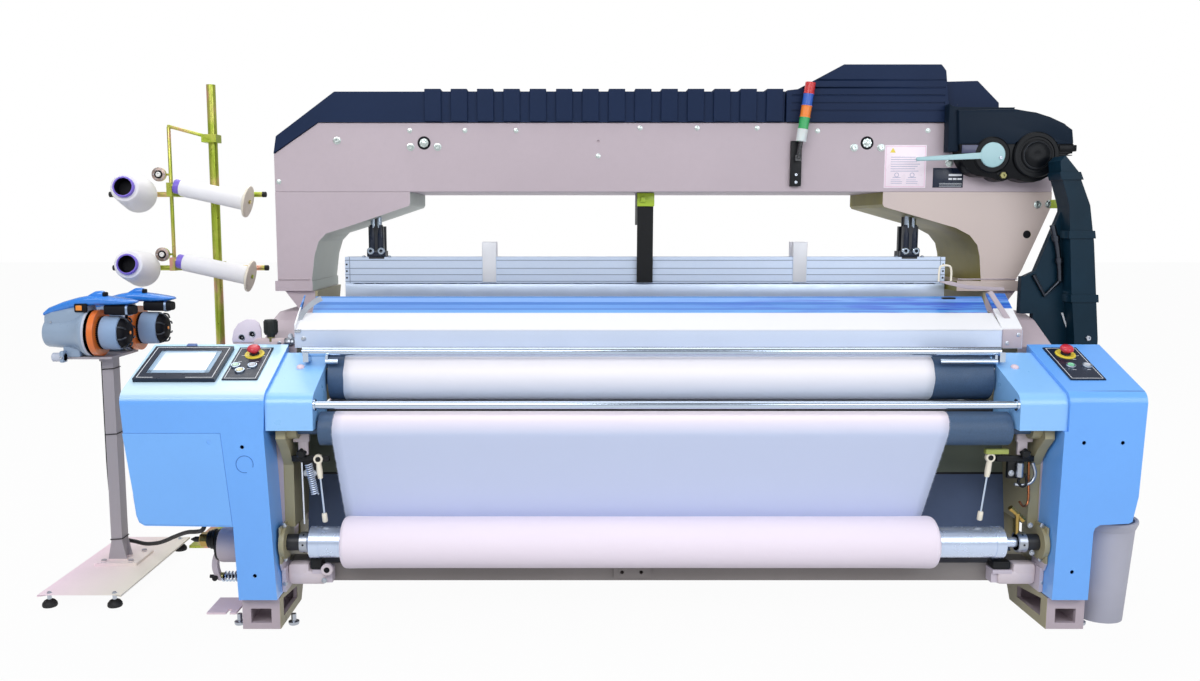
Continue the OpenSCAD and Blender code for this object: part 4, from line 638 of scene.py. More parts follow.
# Each material with the CAD nodes that have it
NODE_GROUPS = (
    (inner_tone, "left_side_frame right_side_frame"),
    (beam_tone, "cross_beams"),
    (apron_grey, "apron"),
    (plate_khaki, "roller_brackets"),
    (black_paint, "roller_fittings dobby_gear_case"),
    (chrome, "front_bars"),
    (aluminium, "breast_beam"),
    (front_white(), "breast_covers"),
    (rubber, "supply_cable press_roller drive_belt"),
    (box_paint(), "control_box"),
    (box_cover_paint, "box_lower_cover"),
    (black_gloss, "operating_panels"),
    (blue_paint, "right_cover"),
    (arm_paint, "arm_covers"),
    (frame_paint, "gantry_beam"),
    (bracket_paint(), "gantry_brackets"),
    (navy_paint, "beam_top_cover dobby_cover"),
    (lever_grey, "dobby_lever"),
    (duct_black, "side_duct"),
    (tower_lamps(), "signal_tower"),
    (guide_black, "centre_guide"),
    (heald_high, "heald_frame_1 heald_frame_3"),
    (heald_low, "heald_frame_2 heald_frame_4"),
    (grip, "take_up_roller guide_roller"),
    (steel, "sley reed back_rest_roller main_shaft motor_pulley"),
    (roll_core, "cloth_roll_core"),
    (roll_white, "cloth_roll"),
    (cloth_white, "cloth_sheet"),
    (warp_threads(), "warp_sheet"),
    (wound("yarn_on_beam", (238, 238, 242), 700, 0.04), "warp_beam"),
    (motor_paint, "main_motor"),
    (cast, "take_up_clutch"),
    (plate_tone, "weft_guides pedal"),
    (zinc_film, "creel"),
    (button_red, "left_stop_button right_stop_button"),
    (button_green, "left_button_start right_button_start"),
    (button_grey, "left_button_jog right_button_jog"),
    (button_cream, "left_button_mark"),
    (stand_tone, "weft_stand"),
    (feeder_colours(), "weft_feeders"),
    (disc_orange, "winding_disc_1 winding_disc_2"),
    (yarn_x, "yarn_packages"),
    (bin_plastic, "waste_bin"),
)
NODE_MATERIALS = {node: shader for shader, group in NODE_GROUPS for node in group.split()}
for name, shader in NODE_MATERIALS.items():
    nodes[name].data.materials.clear()
    nodes[name].data.materials.append(shader.mat)

# Rounded sheet and plate edges

LONG_EDGE = 60
NARROW_FACE = 9


def rounded_copy(name, slot, radius):
    """A copy of a CAD piece with its long edges bent to a radius; it stands for the CAD piece."""
    shape = Shape()
    bm = shape.bm
    bm.from_mesh(nodes[name].data)
    bmesh.ops.remove_doubles(bm, verts=bm.verts, dist=1e-6)
    bmesh.ops.dissolve_limit(bm, angle_limit=math.radians(1), verts=bm.verts, edges=bm.edges)
    width = {f: f.calc_area() / max(e.calc_length() for e in f.edges) for f in bm.faces}
    long_edges = [e for e in bm.edges if len(e.link_faces) == 2 and e.calc_length() > mm(LONG_EDGE)]
    edges = [e for e in long_edges if e.calc_face_angle() > math.radians(30)
             and min(width[f] for f in e.link_faces) > mm(NARROW_FACE)]
    shape.bevel(edges, radius, 4, True)
    obj = shape.fit(name + "_skin", NODE_MATERIALS[name], slot, stands_for=name)
    flat = obj.modifiers.new("flat_faces", "WEIGHTED_NORMAL")
    flat.keep_sharp = True


for name, slot, radius in (
        ("control_box", "blue_paint", 20), ("right_cover", "blue_paint", 20), ("arm_covers", "blue_paint", 9),
        ("gantry_beam", "frame_paint", 3), ("gantry_brackets", "frame_paint", 3),
        ("beam_top_cover", "navy_paint", 5), ("dobby_cover", "navy_paint", 7), ("side_duct", "duct", 5)):
    rounded_copy(name, slot, radius)

# Supply cable

CABLE_RADIUS = 7
CABLE = [
    (-1458, 120, 318), (-1459, 121, 300), (-1464, 126, 284), (-1476, 138, 272), (-1495, 158, 263),
    (-1518, 183, 254), (-1543, 210, 245), (-1569, 238, 233), (-1595, 266, 219), (-1621, 294, 204),
    (-1647, 322, 189), (-1673, 350, 173), (-1700, 378, 158), (-1728, 407, 144), (-1757, 437, 132),
    (-1787, 467, 121), (-1816, 498, 112), (-1844, 527, 106), (-1869, 547, 104), (-1893, 554, 106),
    (-1914, 555, 113), (-1929, 553, 126), (-1937, 549, 144), (-1939, 543, 166), (-1938, 537, 192),
    (-1937, 530, 222), (-1936, 524, 256), (-1936, 519, 292), (-1936, 515, 330), (-1936, 512, 370),
    (-1936, 510, 415), (-1936, 510, 460), (-1936, 510, 505), (-1936, 510, 550), (-1936, 510, 595),
    (-1936, 510, 640), (-1936, 510, 685), (-1936, 510, 730), (-1936, 510, 772),
]
cable_path = [at(*p) for p in CABLE]
cable = Shape().tube(cable_path, CABLE_RADIUS, 12, 3).fit(
    "supply_lead", rubber, "belt", stands_for="supply_cable")

# Weft stand

FEET = [(x, y) for x in (-2005, -1790) for y in (189, 763)]
# Top of the foot rods, the radii between which their points lie, and the share that is left of them
FOOT_TOP, FOOT_R, FOOT_SHARE = 39.2, (20, 24), 0.27
CAD_POST_X = (-1928, -1876)
POST_X = (-1928, -1889)
POST_Y = 510
# Half width, half depth and heights of the space that holds the post's points
POST_REACH, POST_Z = (45.2, 26.5), (54.9, 790.1)


def slim_stand():
    """A copy of the weft stand with a narrower post, and foot rods slim enough for the domed feet."""
    shape = Shape()
    shape.bm.from_mesh(nodes["weft_stand"].data)
    share = (POST_X[1] - POST_X[0]) / (CAD_POST_X[1] - CAD_POST_X[0])
    for v in shape.bm.verts:
        x, y, z = own_mm(v.co)
        for foot_x, foot_y in FEET:
            if z < FOOT_TOP and FOOT_R[0] < math.hypot(x - foot_x, y - foot_y) < FOOT_R[1]:
                v.co = at(foot_x + (x - foot_x) * FOOT_SHARE, foot_y + (y - foot_y) * FOOT_SHARE, z)
        near = abs(x - sum(CAD_POST_X) / 2) < POST_REACH[0] and abs(y - POST_Y) < POST_REACH[1]
        if near and POST_Z[0] < z < POST_Z[1]:
            v.co = at(POST_X[0] + (x - CAD_POST_X[0]) * share, y, z)
    shape.fit("weft_stand_skin", stand_tone, "white_paint", stands_for="weft_stand", smooth=False)


slim_stand()

# Cloth, roll and warp

TAKE_UP = (225, 760)
PRESS = (190.82, 654.81)
GUIDE = (52, 625)
ROLL = (50, 263)
WARP_BEAM = (1280, 470)
BACK_REST = (1420, 905)
CLOTH_X = (-1010, 870)
ROLL_X = (-999, 849)
# Heights at which the two edges of the cloth are known, from the roll up
EDGES = ((ROLL[1] + 30, -1003, 826), (605, -1016, 859), (700, -1012, 869), (TAKE_UP[1], *CLOTH_X))


def arc(centre, r, a0, a1, count):
    """Points in (depth, height) millimetres round a roller."""
    angles = [math.radians(a0 + (a1 - a0) * i / count) for i in range(count + 1)]
    return [(centre[0] + r * math.cos(a), centre[1] + r * math.sin(a)) for a in angles]


CLOTH_LINE = (
    [(436, 868.5)] + arc(TAKE_UP, 75.8, 98.583, 252, 40) + arc(PRESS, 34.8, 70, -115.973, 30)
    + arc(GUIDE, 52.8, 64.027, 201.828, 26) + arc(ROLL, 81.8, 21.828, -30, 12)
)
WARP_LINE = (
    arc(WARP_BEAM, 310.8, -10, 15.3265, 12) + arc(BACK_REST, 60.8, 15.3265, 97.149, 20) + [(776, 885.5)]
)


def line_length(line):
    return sum(math.dist(a, b) for a, b in zip(line, line[1:]))


def cloth_edges(z):
    """Where the two edges of the cloth run at a height: it draws in on its way down to the roll."""
    if z <= EDGES[0][0]:
        return EDGES[0][1:]
    for (z0, *a), (z1, *b) in zip(EDGES, EDGES[1:]):
        if z < z1:
            return tuple(p + (q - p) * (z - z0) / (z1 - z0) for p, q in zip(a, b))
    return CLOTH_X


def warp_edges(z):
    """The warp keeps its full width at every height."""
    return CLOTH_X


def stretched(line, step):
    """A line's points with more between them, each with how freely it hangs there, from 0 to 1."""
    points = []
    for a, b in zip(line, line[1:]):
        gap = math.dist(a, b)
        steps = max(1, round(gap / step))
        for t in [s / steps for s in range(steps)]:
            free = math.sin(math.pi * t) ** 0.7 if gap > 60 else 0.0
            points.append((a[0] + (b[0] - a[0]) * t, a[1] + (b[1] - a[1]) * t, free))
    return points + [(*line[-1], 0.0)]


def web(name, line, edges, ripple, columns, stands_for):
    """A thin stretched sheet along a line, with slight ripples only where it runs free."""
    points = stretched(line, 9)
    shape = Shape()
    rows = []
    run = 0.0
    for i, (y, z, free) in enumerate(points):
        before, after = points[max(i - 1, 0)], points[min(i + 1, len(points) - 1)]
        ty, tz = after[0] - before[0], after[1] - before[1]
        size = math.hypot(ty, tz)
        run += math.dist((y, z), before[:2])
        x0, x1 = edges(z)
        row = []
        for c in range(columns + 1):
            x = x0 + (x1 - x0) * c / columns
            wave = math.sin(x / 47 + 0.6 * math.sin(run / 130))
            wave += 0.6 * math.sin(x / 113 + 1.3) * math.cos(run / 210)
            push = ripple * free * wave
            edge = 0.7 * math.sin(run / 9 + x) if c in (0, columns) else 0.0
            row.append(at(x + edge, y - push * tz / size, z + push * ty / size))
        rows.append(shape.ring(row))
    for a, b in zip(rows, rows[1:]):
        for c in range(columns):
            shape.bm.faces.new((a[c], a[c + 1], b[c + 1], b[c]))
    obj = shape.fit(name, NODE_MATERIALS[stands_for], "cloth", stands_for=stands_for)
    thick = obj.modifiers.new("thickness", "SOLIDIFY")
    thick.thickness = 0.0006
    thick.offset = 0
    return obj


def fringe():
    """Cut weft ends that stand out at both edges of the cloth."""
    shape = Shape()
    line = arc(GUIDE, 52.9, 40, 201.828, 60) + arc(ROLL, 81.9, 21.828, 5, 8)
    points = [point[:2] for point in stretched(line, 3.2)[:-1]]
    for side in (-1, 1):
        for k, ((y, z), (y2, z2)) in enumerate(zip(points, points[1:])):
            x = cloth_edges(z)[side > 0]
            reach = 3.2 + 2.2 * math.sin(k * 2.1) + 1.2 * math.sin(k * 0.7)
            shape.bm.faces.new(shape.ring([
                at(x - side, y, z), at(x - side, y + (y2 - y) * 0.6, z + (z2 - z) * 0.6),
                at(x + side * max(reach, 0.8), y + (y2 - y) * 0.4, z + (z2 - z) * 0.4)]))
    return shape.fit("cloth_fringe", cloth_white, "cloth", smooth=False)


def wound_cloth():
    """The roll of woven cloth: a little fuller at its two ends, with its layers seen end-on."""
    half = [(0, 48.3)]
    r = 49.5
    while r < 68:
        half += [(0.9, r), (0.1, r + 0.9)]
        r += 1.8
    half += [(1.5, 71), (4, 75.5), (8, 78.8), (13, 80.3), (22, 80.9), (50, 80.4), (120, 79.7), (300, 79.4),
             (600, 79.6), (800, 79.3)]
    length = ROLL_X[1] - ROLL_X[0]
    profile = half + [(length - d, r) for d, r in reversed(half)]
    Shape().lathe(profile, (ROLL_X[0], *ROLL), RIGHT, 120).fit(
        "wound_cloth", roll_white, "cloth", "cloth_winder", "cloth_roll")


cloth = web("cloth_web", CLOTH_LINE, cloth_edges, 0.55, 60, "cloth_sheet")
warp = web("warp_yarns", WARP_LINE, warp_edges, 0.3, 40, "warp_sheet")
edge = fringe()
round(line_length(CLOTH_LINE) / 1000, 3)
round(line_length(WARP_LINE) / 1000, 3)
wound_cloth()

# Yarn packages and creel

purple = plastic("cone_purple", (122, 100, 208), 0.4)
CREEL_LEVELS = (1086, 1366)
DISC_LEVELS = (1441, 1138)
GUIDE_X = -1846


def package(name, start, axis, profile, material, r, reach):
    """A yarn package on its purple tube of radius r: the yarn, the tube's ring and its hollow, lined in black
    as painted shade.
    """
    end = profile[-1][0]
    mouth = end + reach
    ring = [(end - 30, 0), (end - 30, r - 7), (mouth, r - 6), (mouth, r - 2), (mouth - 3, r),
            (end - 34, r - 2), (end - 34, 0)]
    # Painted shade: a black lining inside the tube's hollow.
    hollow = [(end - 29.4, 0), (end - 29.4, r - 7.4), (mouth - 5, r - 6.4), (mouth - 5, r - 7.2),
              (end - 28.4, r - 8.2), (end - 28.4, 0)]
    for part, turned, tone, sides in (("", profile, material, 64), ("_tube", ring, purple, 48),
                                      ("_core", hollow, hole_black, 32)):
        Shape().lathe(turned, start, axis, sides).fit(name + part, tone, "yarn", stands_for="yarn_packages")


def bobbin(k, z):
    """A package with a parallel tube, seated on a cream disc."""
    tilt = math.radians(12)
    axis = Vector((-math.cos(tilt), 0, math.sin(tilt)))
    start = at(-1630, 802, z) - axis * mm(136)
    yarn = [(0, 8), (0, 33), (3, 35), (20, 34.5), (120, 33.5), (236, 32.5), (241, 30), (243, 27), (243, 25)]
    package(f"bobbin_{k}", start + axis * mm(10), axis, yarn, yarn_x, 27, 22)
    disc = [(0, 8), (0, 54), (2, 59), (5, 60), (9, 59), (12, 52), (12, 34), (16, 30), (16, 8)]
    Shape().lathe(disc, start - axis * mm(8), axis, 56).fit(
        f"bobbin_disc_{k}", cream, "yarn", stands_for="yarn_packages")


def cone(k, z):
    """A conical package that points to the front, with the hub it is pushed on."""
    rise = math.radians(9)
    axis = Vector((0.06, -math.cos(rise), math.sin(rise))).normalized()
    start = (-1915, 838, z - 4)
    yarn = [(-1, 12), (0, 62), (4, 67), (10, 68), (60, 63), (120, 56.5), (146, 53), (152, 49), (154, 40),
            (154, 36)]
    package(f"cone_{k}", start, axis, yarn, yarn_y, 38, 17)
    Shape().lathe([(-30, 0), (-30, 13), (2, 14), (2, 0)], start, axis, 24).fit(
        f"cone_hub_{k}", zinc_film, "zinc", stands_for="yarn_packages")


def creel_details():
    """Plugs of the arms, clamps, guide rod, and the guide discs with their eyes and rivets."""
    plugs, clamps, rods = Shape(), Shape(), Shape()
    for z in CREEL_LEVELS:
        for x, way in ((-2042, -1), (-1447, 1)):
            plugs.lathe([(-12, 0), (-12, 10.6), (1.5, 10.6), (3, 8), (3, 0)], (x, 873, z), (way, 0, 0), 24)
        for x in (-1668, -1632):
            clamps.bolt(x, 856, z + 14, 5.5).bolt(x, 856, z - 14, 5.5)
        clamps.box((-1679, 856.5, z - 26), (-1621, 860, z + 26), 2)
    plugs.fit("arm_plugs", rubber, "belt")
    clamps.fit("creel_clamps", bare_metal("clamp_zinc", (172, 174, 176), 0.34, scale=240), "zinc")
    rods.lathe([(0, 0), (0, 6.4), (2, 7), (512, 7), (516, 5), (516, 0)], (-1806, 870, 1106), UP, 20)
    lean = math.radians(105)
    rods.lathe([(-4, 0), (-4, 5), (0, 6.5), (156, 6.5), (156, 0)], (-1806, 870, 1622),
               (math.sin(lean), 0, math.cos(lean)), 20)
    rods.fit("creel_rods", zinc_film, "zinc")

    discs = [(GUIDE_X, 855.4, z) for z in DISC_LEVELS]
    disc_steel = bare_metal("disc_steel", (176, 158, 150), 0.4, scale=90, vary=0.4, depth=0.1)
    face = [(0, 0), (0, 26.5), (1.4, 26.5), (2, 25), (2, 0)]
    Shape().lathes(face, discs, FRONT, 40).fit("guide_disc_faces", disc_steel, "zinc")
    groove = [(1, 9), (1, 15.5), (2.6, 15.5), (2.6, 9)]
    Shape().lathes(groove, discs, FRONT, 32).fit("guide_disc_rings", hole_black, "belt")
    eye = [(0, 0), (0, 9.5), (5, 9.5), (7, 8), (7, 5), (3, 4), (3, 0)]
    Shape().lathes(eye, [(GUIDE_X, 854.5, z) for z in DISC_LEVELS], FRONT, 28).fit(
        "guide_eyes", plastic("eye_white", (238, 238, 236), 0.25, coat=0.4), "yarn")
    rivets = [(GUIDE_X + dx, 854, z + dz) for z in DISC_LEVELS for dx, dz in around(20, range(0, 360, 60))]
    Shape().lathes([(0, 0), (0, 2.6), (1.2, 2.2), (1.2, 0)], rivets, FRONT, 12).fit(
        "guide_disc_rivets", bolt_steel, "zinc")


for k, z in enumerate(CREEL_LEVELS):
    bobbin(k, z)
    cone(k, z)
creel_details()

# Weft feeders

feeder_grey = plastic("feeder_grey", (152, 172, 196), 0.32, 1200, 0.1, 0.05, 0.25)
feeder_blue = plastic("feeder_blue", (44, 132, 228), 0.26, 900, 0.08, 0.05, 0.5)
feeder_pale = plastic("feeder_pale", (196, 202, 218), 0.34, coat=0.2)
drum_metal = bare_metal("drum_metal", (150, 170, 200), 0.3, scale=200, depth=0.05)
drum_yarn = wound("drum_yarn", (150, 178, 214), 700, 0.2)
lamp_orange = plastic("lamp_orange", (250, 150, 50), 0.3, coat=0.3)
FEEDER = (-1912, 450, 880)
FEEDER_PITCH = (65, 170)
# Slots of the pieces that are not blue
FEEDER_SLOTS = {drum_yarn: "yarn", lamp_orange: "orange"}
# Name, material, sides, start from the middle of the winding disc, and profile along the feeder
FEEDER_TURNED = (
    ("rear_cap", hole_black, 40, (-190, 0, 0), [(0, 0), (0, 22), (2, 28), (8, 31), (16, 31), (16, 0)]),
    ("body", feeder_grey, 56, (-182, 0, 0), [
        (0, 0), (0, 40), (3, 46), (10, 49), (60, 53), (95, 57), (118, 64), (130, 72), (140, 79), (147, 80.5),
        (155, 80.5), (158, 78), (158, 0)]),
    ("flange", feeder_pale, 56, (-34, 0, 0), [(0, 60), (0, 78), (3, 81), (8, 81), (10, 79), (10, 60)]),
    ("drum", drum_yarn, 64, (0, 0, 0), [
        (18, 40), (18, 57.2), (20, 58), (70, 57.4), (76, 56.2), (78, 53), (78, 40)]),
    ("nose", hole_black, 48, (0, 0, 0), [
        (76, 52), (84, 51.5), (92, 48), (98, 41), (101, 30), (102, 12), (104, 8), (104, 0)]),
    ("nose_eye", lamp_orange, 20, (0, 0, 0), [(102, 0), (102, 7), (106, 5), (106.5, 0)]),
    ("knob_rod", feeder_pale, 32, (-148, -42, -80), [
        (0, 0), (0, 12), (3, 15.5), (34, 15.5), (36, 13), (44, 13), (44, 0)]),
)
# Name, material, sides, offset to the front, and sections of (along, low, top, half width, squareness)
FEEDER_LOFTS = (
    ("shoulder", feeder_grey, 20, 0, [
        (-176, 18, 70, 30, 3), (-150, 14, 86, 38, 3), (-90, 14, 98, 40, 3), (-44, 20, 100, 38, 3),
        (-24, 40, 96, 34, 3)]),
    ("cover", feeder_blue, 28, 0, [
        (-180, 60, 74, 28, 3), (-160, 66, 90, 36, 3), (-110, 78, 110, 40, 3), (-60, 90, 124, 41, 3),
        (-20, 94, 131, 40, 3), (14, 96, 130, 38, 3), (60, 96, 124, 37, 3), (105, 98, 117, 34, 2.6),
        (126, 101, 113, 26, 2.3), (134, 104, 110, 12, 2)]),
    ("hump", feeder_blue, 20, -8, [
        (-26, 118, 132, 14, 2.6), (-4, 116, 144, 17, 2.8), (16, 116, 146, 17, 2.8), (24, 118, 143, 15, 3)]),
    ("sensor", hole_black, 20, -8, [
        (30, 64, 98, 24, 4), (60, 62, 98, 26, 4), (110, 62, 98, 26, 4), (128, 65, 95, 23, 3)]),
    ("sensor_rim", drum_metal, 20, -8, [(104, 60, 99, 27.5, 4), (112, 60, 99, 27.5, 4)]),
)
# Name, material, two corners and bevel
FEEDER_BOXES = (
    ("hump_eye", hole_black, (20, -22, 120), (34, 5, 141), 4),
    ("lamp_frame", hole_black, (-66, -44, 74), (-22, -34, 104), 4),
    ("lamp", lamp_orange, (-60, -46, 80), (-38, -38, 98), 3),
    ("foot", feeder_grey, (-118, -30, -81.6), (-60, 30, -38), 5),
    ("knob_clamp", feeder_grey, (-118, -58, -98), (-104, -26, -58), 4),
)


def feeder(k):
    """One weft feeder, built around the CAD's axis."""
    x, y, z = FEEDER[0] + FEEDER_PITCH[0] * k, FEEDER[1] + FEEDER_PITCH[1] * k, FEEDER[2]

    def add(name, shape, material):
        slot = FEEDER_SLOTS.get(material, "feeder_blue")
        shape.fit(f"feeder_{name}_{k}", material, slot, stands_for="weft_feeders")

    def off(dx, dy, dz):
        return x + dx, y + dy, z + dz

    for name, material, sides, start, profile in FEEDER_TURNED:
        add(name, Shape().lathe(profile, off(*start), RIGHT, sides), material)
    for name, material, sides, dy, sections in FEEDER_LOFTS:
        placed = [(x + dx, y + dy, z + low, z + top, half, square) for dx, low, top, half, square in sections]
        add(name, Shape().loft(placed, sides), material)
    for name, material, lo, hi, bevel in FEEDER_BOXES:
        add(name, Shape().box(off(*lo), off(*hi), bevel), material)
    teeth = Shape().lathe([(8, 40), (8, 50), (16, 54)], (x, y, z), RIGHT, 48)
    for dy, dz in around(55, range(0, 360, 8)):
        teeth.lathe(bar(9, 22, 2.2), off(0, dy, dz), RIGHT, 6)
    add("teeth", teeth, hole_black)
    wires = Shape()
    for c, s in around(1, range(20, 380, 45)):
        wires.tube([off(80, 55 * c, 55 * s), off(96, 52 * c, 52 * s), off(104, 38 * c, 38 * s)], 3, 6, 4)
    add("nose_wires", wires, dark_steel)
    screws = Shape()
    for start, size in (((-111, -58, -80), 5), ((-150, -38, 40), 3.2), ((-40, -38, 60), 3.2)):
        screws.screw(*off(*start), size)
    add("screws", screws, bolt_steel)


for k in range(2):
    feeder(k)

# Operating panels

SLOPE = math.radians(21.5)
OFF_SLOPE = Vector((0, -math.sin(SLOPE), math.cos(SLOPE)))
SLOPE_Y, SLOPE_Z = 20, 762
PANEL_X, PANEL_Y = (-1308, 1305), 148
SCREEN = (-1506, 140)


def on_slope(x, y, u, v, h):
    """A point of a sloping panel: u along the loom, v up the slope and h off its face."""
    z = SLOPE_Z + (y - SLOPE_Y) * math.tan(SLOPE)
    return at(x + u, y + v * math.cos(SLOPE) - h * math.sin(SLOPE),
              z + v * math.sin(SLOPE) + h * math.cos(SLOPE))


def add_loop(shape, x, y, half_u, half_v, h, width, gap=None):
    """A thin painted line round a panel, open between two u values of gap on its lower side."""
    lines = [((-half_u, half_v - width), (half_u, half_v)), ((-half_u, -half_v), (-half_u + width, half_v)),
             ((half_u - width, -half_v), (half_u, half_v))]
    for lo, hi in ([(-half_u, gap[0]), (gap[1], half_u)] if gap else [(-half_u, half_u)]):
        lines.append(((lo, -half_v), (hi, -half_v + width)))
    for lo, hi in lines:
        shape.slab(x, y, (*lo, h - 1), (*hi, h + 0.25), 0)


def touch_screen():
    rim = Shape()
    for lo, hi in (((-97, -67), (97, -50)), ((-97, 66), (97, 75)), ((-97, -67), (-82, 75)),
                   ((82, -67), (97, 75))):
        rim.slab(*SCREEN, (*lo, 9.4), (*hi, 12.1), 1.0)
    rim.fit("screen_rim", plastic("screen_rim", (150, 178, 204), 0.35, coat=0.2), "grey")
    glass = plastic("screen_glass", (236, 243, 248), 0.12, 3000, 0.0, 0.02, 0.8)
    glass.set(glow=0.25, glow_colour=(0.85, 0.95, 1, 1))
    Shape().slab(*SCREEN, (-83, -51, 9.0), (83, 67, 10.8), 0.4).fit("screen_glass", glass, "white_paint")


def panel_lines():
    """The painted lines round the screen and the two button panels, and dashes for their lettering."""
    lines = Shape()
    add_loop(lines, *SCREEN, 117, 97, 12.3, 2.0, (-66, 34))
    for x in PANEL_X:
        add_loop(lines, x, PANEL_Y, 48.5, 97, 4.3, 1.8)
    for x, marks in zip(PANEL_X, (((-34, 8), (20, 8), (-24, -38), (6, -38), (30, 46), (-34, 46)),
                                  ((-22, -44), (24, -44), (-30, 46), (28, 46), (8, 22)))):
        for u, v in marks:
            lines.slab(x, PANEL_Y, (u, v, 4), (u + 11, v + 1.6, 4.5), 0)
    lines.fit("panel_lines", line_white, "white_paint", smooth=False)


def push_buttons():
    """Caps of the five push buttons, each in its chrome ring."""
    mint = plastic("button_mint", (132, 214, 168), 0.3, coat=0.4)
    rings = Shape()
    ring = [(3.6, 11), (3.6, 15.6), (7.6, 15.8), (9.6, 15), (10.2, 13.2), (9.8, 11.6), (4, 11)]
    cap = [(0, 0), (0, 6), (19.5, 6), (19.5, 10.2), (23.6, 10.3), (24.8, 9.6), (25, 8.6), (24.4, 7.6),
           (24.2, 0)]
    for name, x, y, tone, slot in (
            ("left_start", -1343, 130, button_green, "green"), ("left_jog", -1290, 130, button_grey, "grey"),
            ("left_mark", -1321, 101, button_cream, "cream"), ("right_start", 1287, 130, mint, "green"),
            ("right_jog", 1338, 130, button_grey, "grey")):
        rings.lathe(ring, on_slope(x, y, 0, 0, 0), OFF_SLOPE, 32)
        Shape().lathe(cap, on_slope(x, y, 0, 0, -14), OFF_SLOPE, 32).fit(
            name + "_cap", tone, slot, name, name.replace("_", "_button_"))
    rings.fit("button_rings", chrome, "chrome")


def stop_buttons():
    """Mushroom heads of the two stop buttons, each over its yellow ring."""
    rings = Shape()
    ring = [(0.4, 16), (0.4, 31), (5.4, 31.2), (7.4, 30), (8, 27.5), (7.4, 24), (6.5, 22.5), (6.5, 16)]
    head = [(0, 0), (0, 10), (36.2, 10), (36.2, 17.4), (36.8, 20), (38, 21), (41, 21.2), (45, 20.2),
            (48.6, 17), (50.6, 11), (51.2, 0)]
    for side, x in (("left", -1303), ("right", 1304)):
        rings.lathe(ring, on_slope(x, 200, 0, 0, 0), OFF_SLOPE, 40)
        Shape().lathe(head, on_slope(x, 200, 0, 0, -16), OFF_SLOPE, 40).fit(
            side + "_stop_head", button_red, "red", side + "_stop", side + "_stop_button")
    rings.fit("stop_rings", button_yellow, "cream")


def box_details():
    """The box's latch and knock-out, and the pins on the arm covers."""
    Shape().slab(-1524, 256, (-16, -9, -1), (16, 9, 8), 3).fit(
        "box_latch", plastic("latch_blue", (84, 112, 168), 0.4), "blue_paint")
    rim = [(-1275 + dx, -30.4, 531 + dz) for dx, dz in around(26, range(-20, 292, 8))]
    Shape().tube(rim, 1.1, 6).fit("box_knockout", plastic("seam_blue", (62, 118, 196), 0.5), "blue_paint")
    pin_z = SLOPE_Z + 120 * math.tan(SLOPE) - 8
    pins = [(x, 150, pin_z) for x in (-1144, 1121)]
    Shape().lathes([(-4, 0), (-4, 12), (2, 12.5), (5, 11), (7.5, 7), (8.4, 0)], pins, OFF_SLOPE, 24).fit(
        "arm_cover_pins", plate_tone, "white_paint")


touch_screen()
panel_lines()
push_buttons()
stop_buttons()
box_details()

# Gantry

FACE_Y = 550


def on_face(*places):
    """Points on the front face of the gantry, from (x, z) pairs."""
    return [(x, FACE_Y, z) for x, z in places]


def gantry_bolts():
    big = on_face((-1098, 1542), (-842, 1520), (-748, 1520), (704, 1518), (798, 1518), (1035, 1535),
                  (1038, 1465), (1355, 1321), (1394, 1323))
    small = on_face((-844, 1576), (-652, 1576), (-474, 1576), (-1305, 1400), (575, 1575), (959, 1576),
                    (-188, 1489), (-43, 1585), (156, 1585), (364, 1585))
    bolts = Shape().lathes([(-1, 0), (-1, 13.5), (1.6, 13.5), (2.2, 12), (2.2, 0)], big, FRONT, 28)
    bolts.lathes([(1, 0), (1, 9), (7, 9), (8.4, 7.6), (8.4, 4.4), (4, 4.2), (4, 0)], big, FRONT, 20)
    bolts.lathes([(-1, 0), (-1, 8.5), (1, 8.5), (1.4, 6), (4.6, 5.6), (5.2, 4.4), (5.2, 0)], small, FRONT, 20)
    bolts.fit("gantry_bolts", washer_tone, "steel")


def sight_holes():
    """Two round holes in the gantry, filled with black as painted shade, each with a screw and a ring of
    rivets, and one in the bracket.
    """
    dark, bright = Shape(), Shape()
    z = 1534
    for x in (-795, 749):
        # Painted shade: a black plug, flush with the face, stands for the deep hole.
        dark.lathe([(0, 0), (0, 22.6), (1, 22.9), (13, 22.9), (13, 0)], (x, 563, z), FRONT, 36)
        bright.lathe([(0, 0), (0, 15), (2.5, 15), (3, 14), (3, 9), (8, 8.6), (9, 7), (9, 0)], (x, 551, z),
                     FRONT, 24)
        rivets = [(x + dx, 551, z + dz) for dx, dz in around(13, range(0, 360, 45))]
        bright.lathes([(0, 0), (0, 3.4), (4, 3), (4, 0)], rivets, FRONT, 8)
    dark.lathe([(0, 0), (0, 13.6), (11, 13.8), (11, 0)], (1323, 563, 1217), FRONT, 32)
    dark.fit("gantry_sight_holes", hole_black, "black_paint")
    bright.fit("gantry_sight_bolts", washer_tone, "steel")


def fields(name, rows, front, back, material, slot):
    """Flat printed fields on the gantry's plates, from (x0, z0, x1, z1) rows."""
    shape = Shape()
    for x0, z0, x1, z1 in rows:
        shape.box((x0, front, z0), (x1, back, z1), 0)
    shape.fit(name, material, slot, smooth=False)


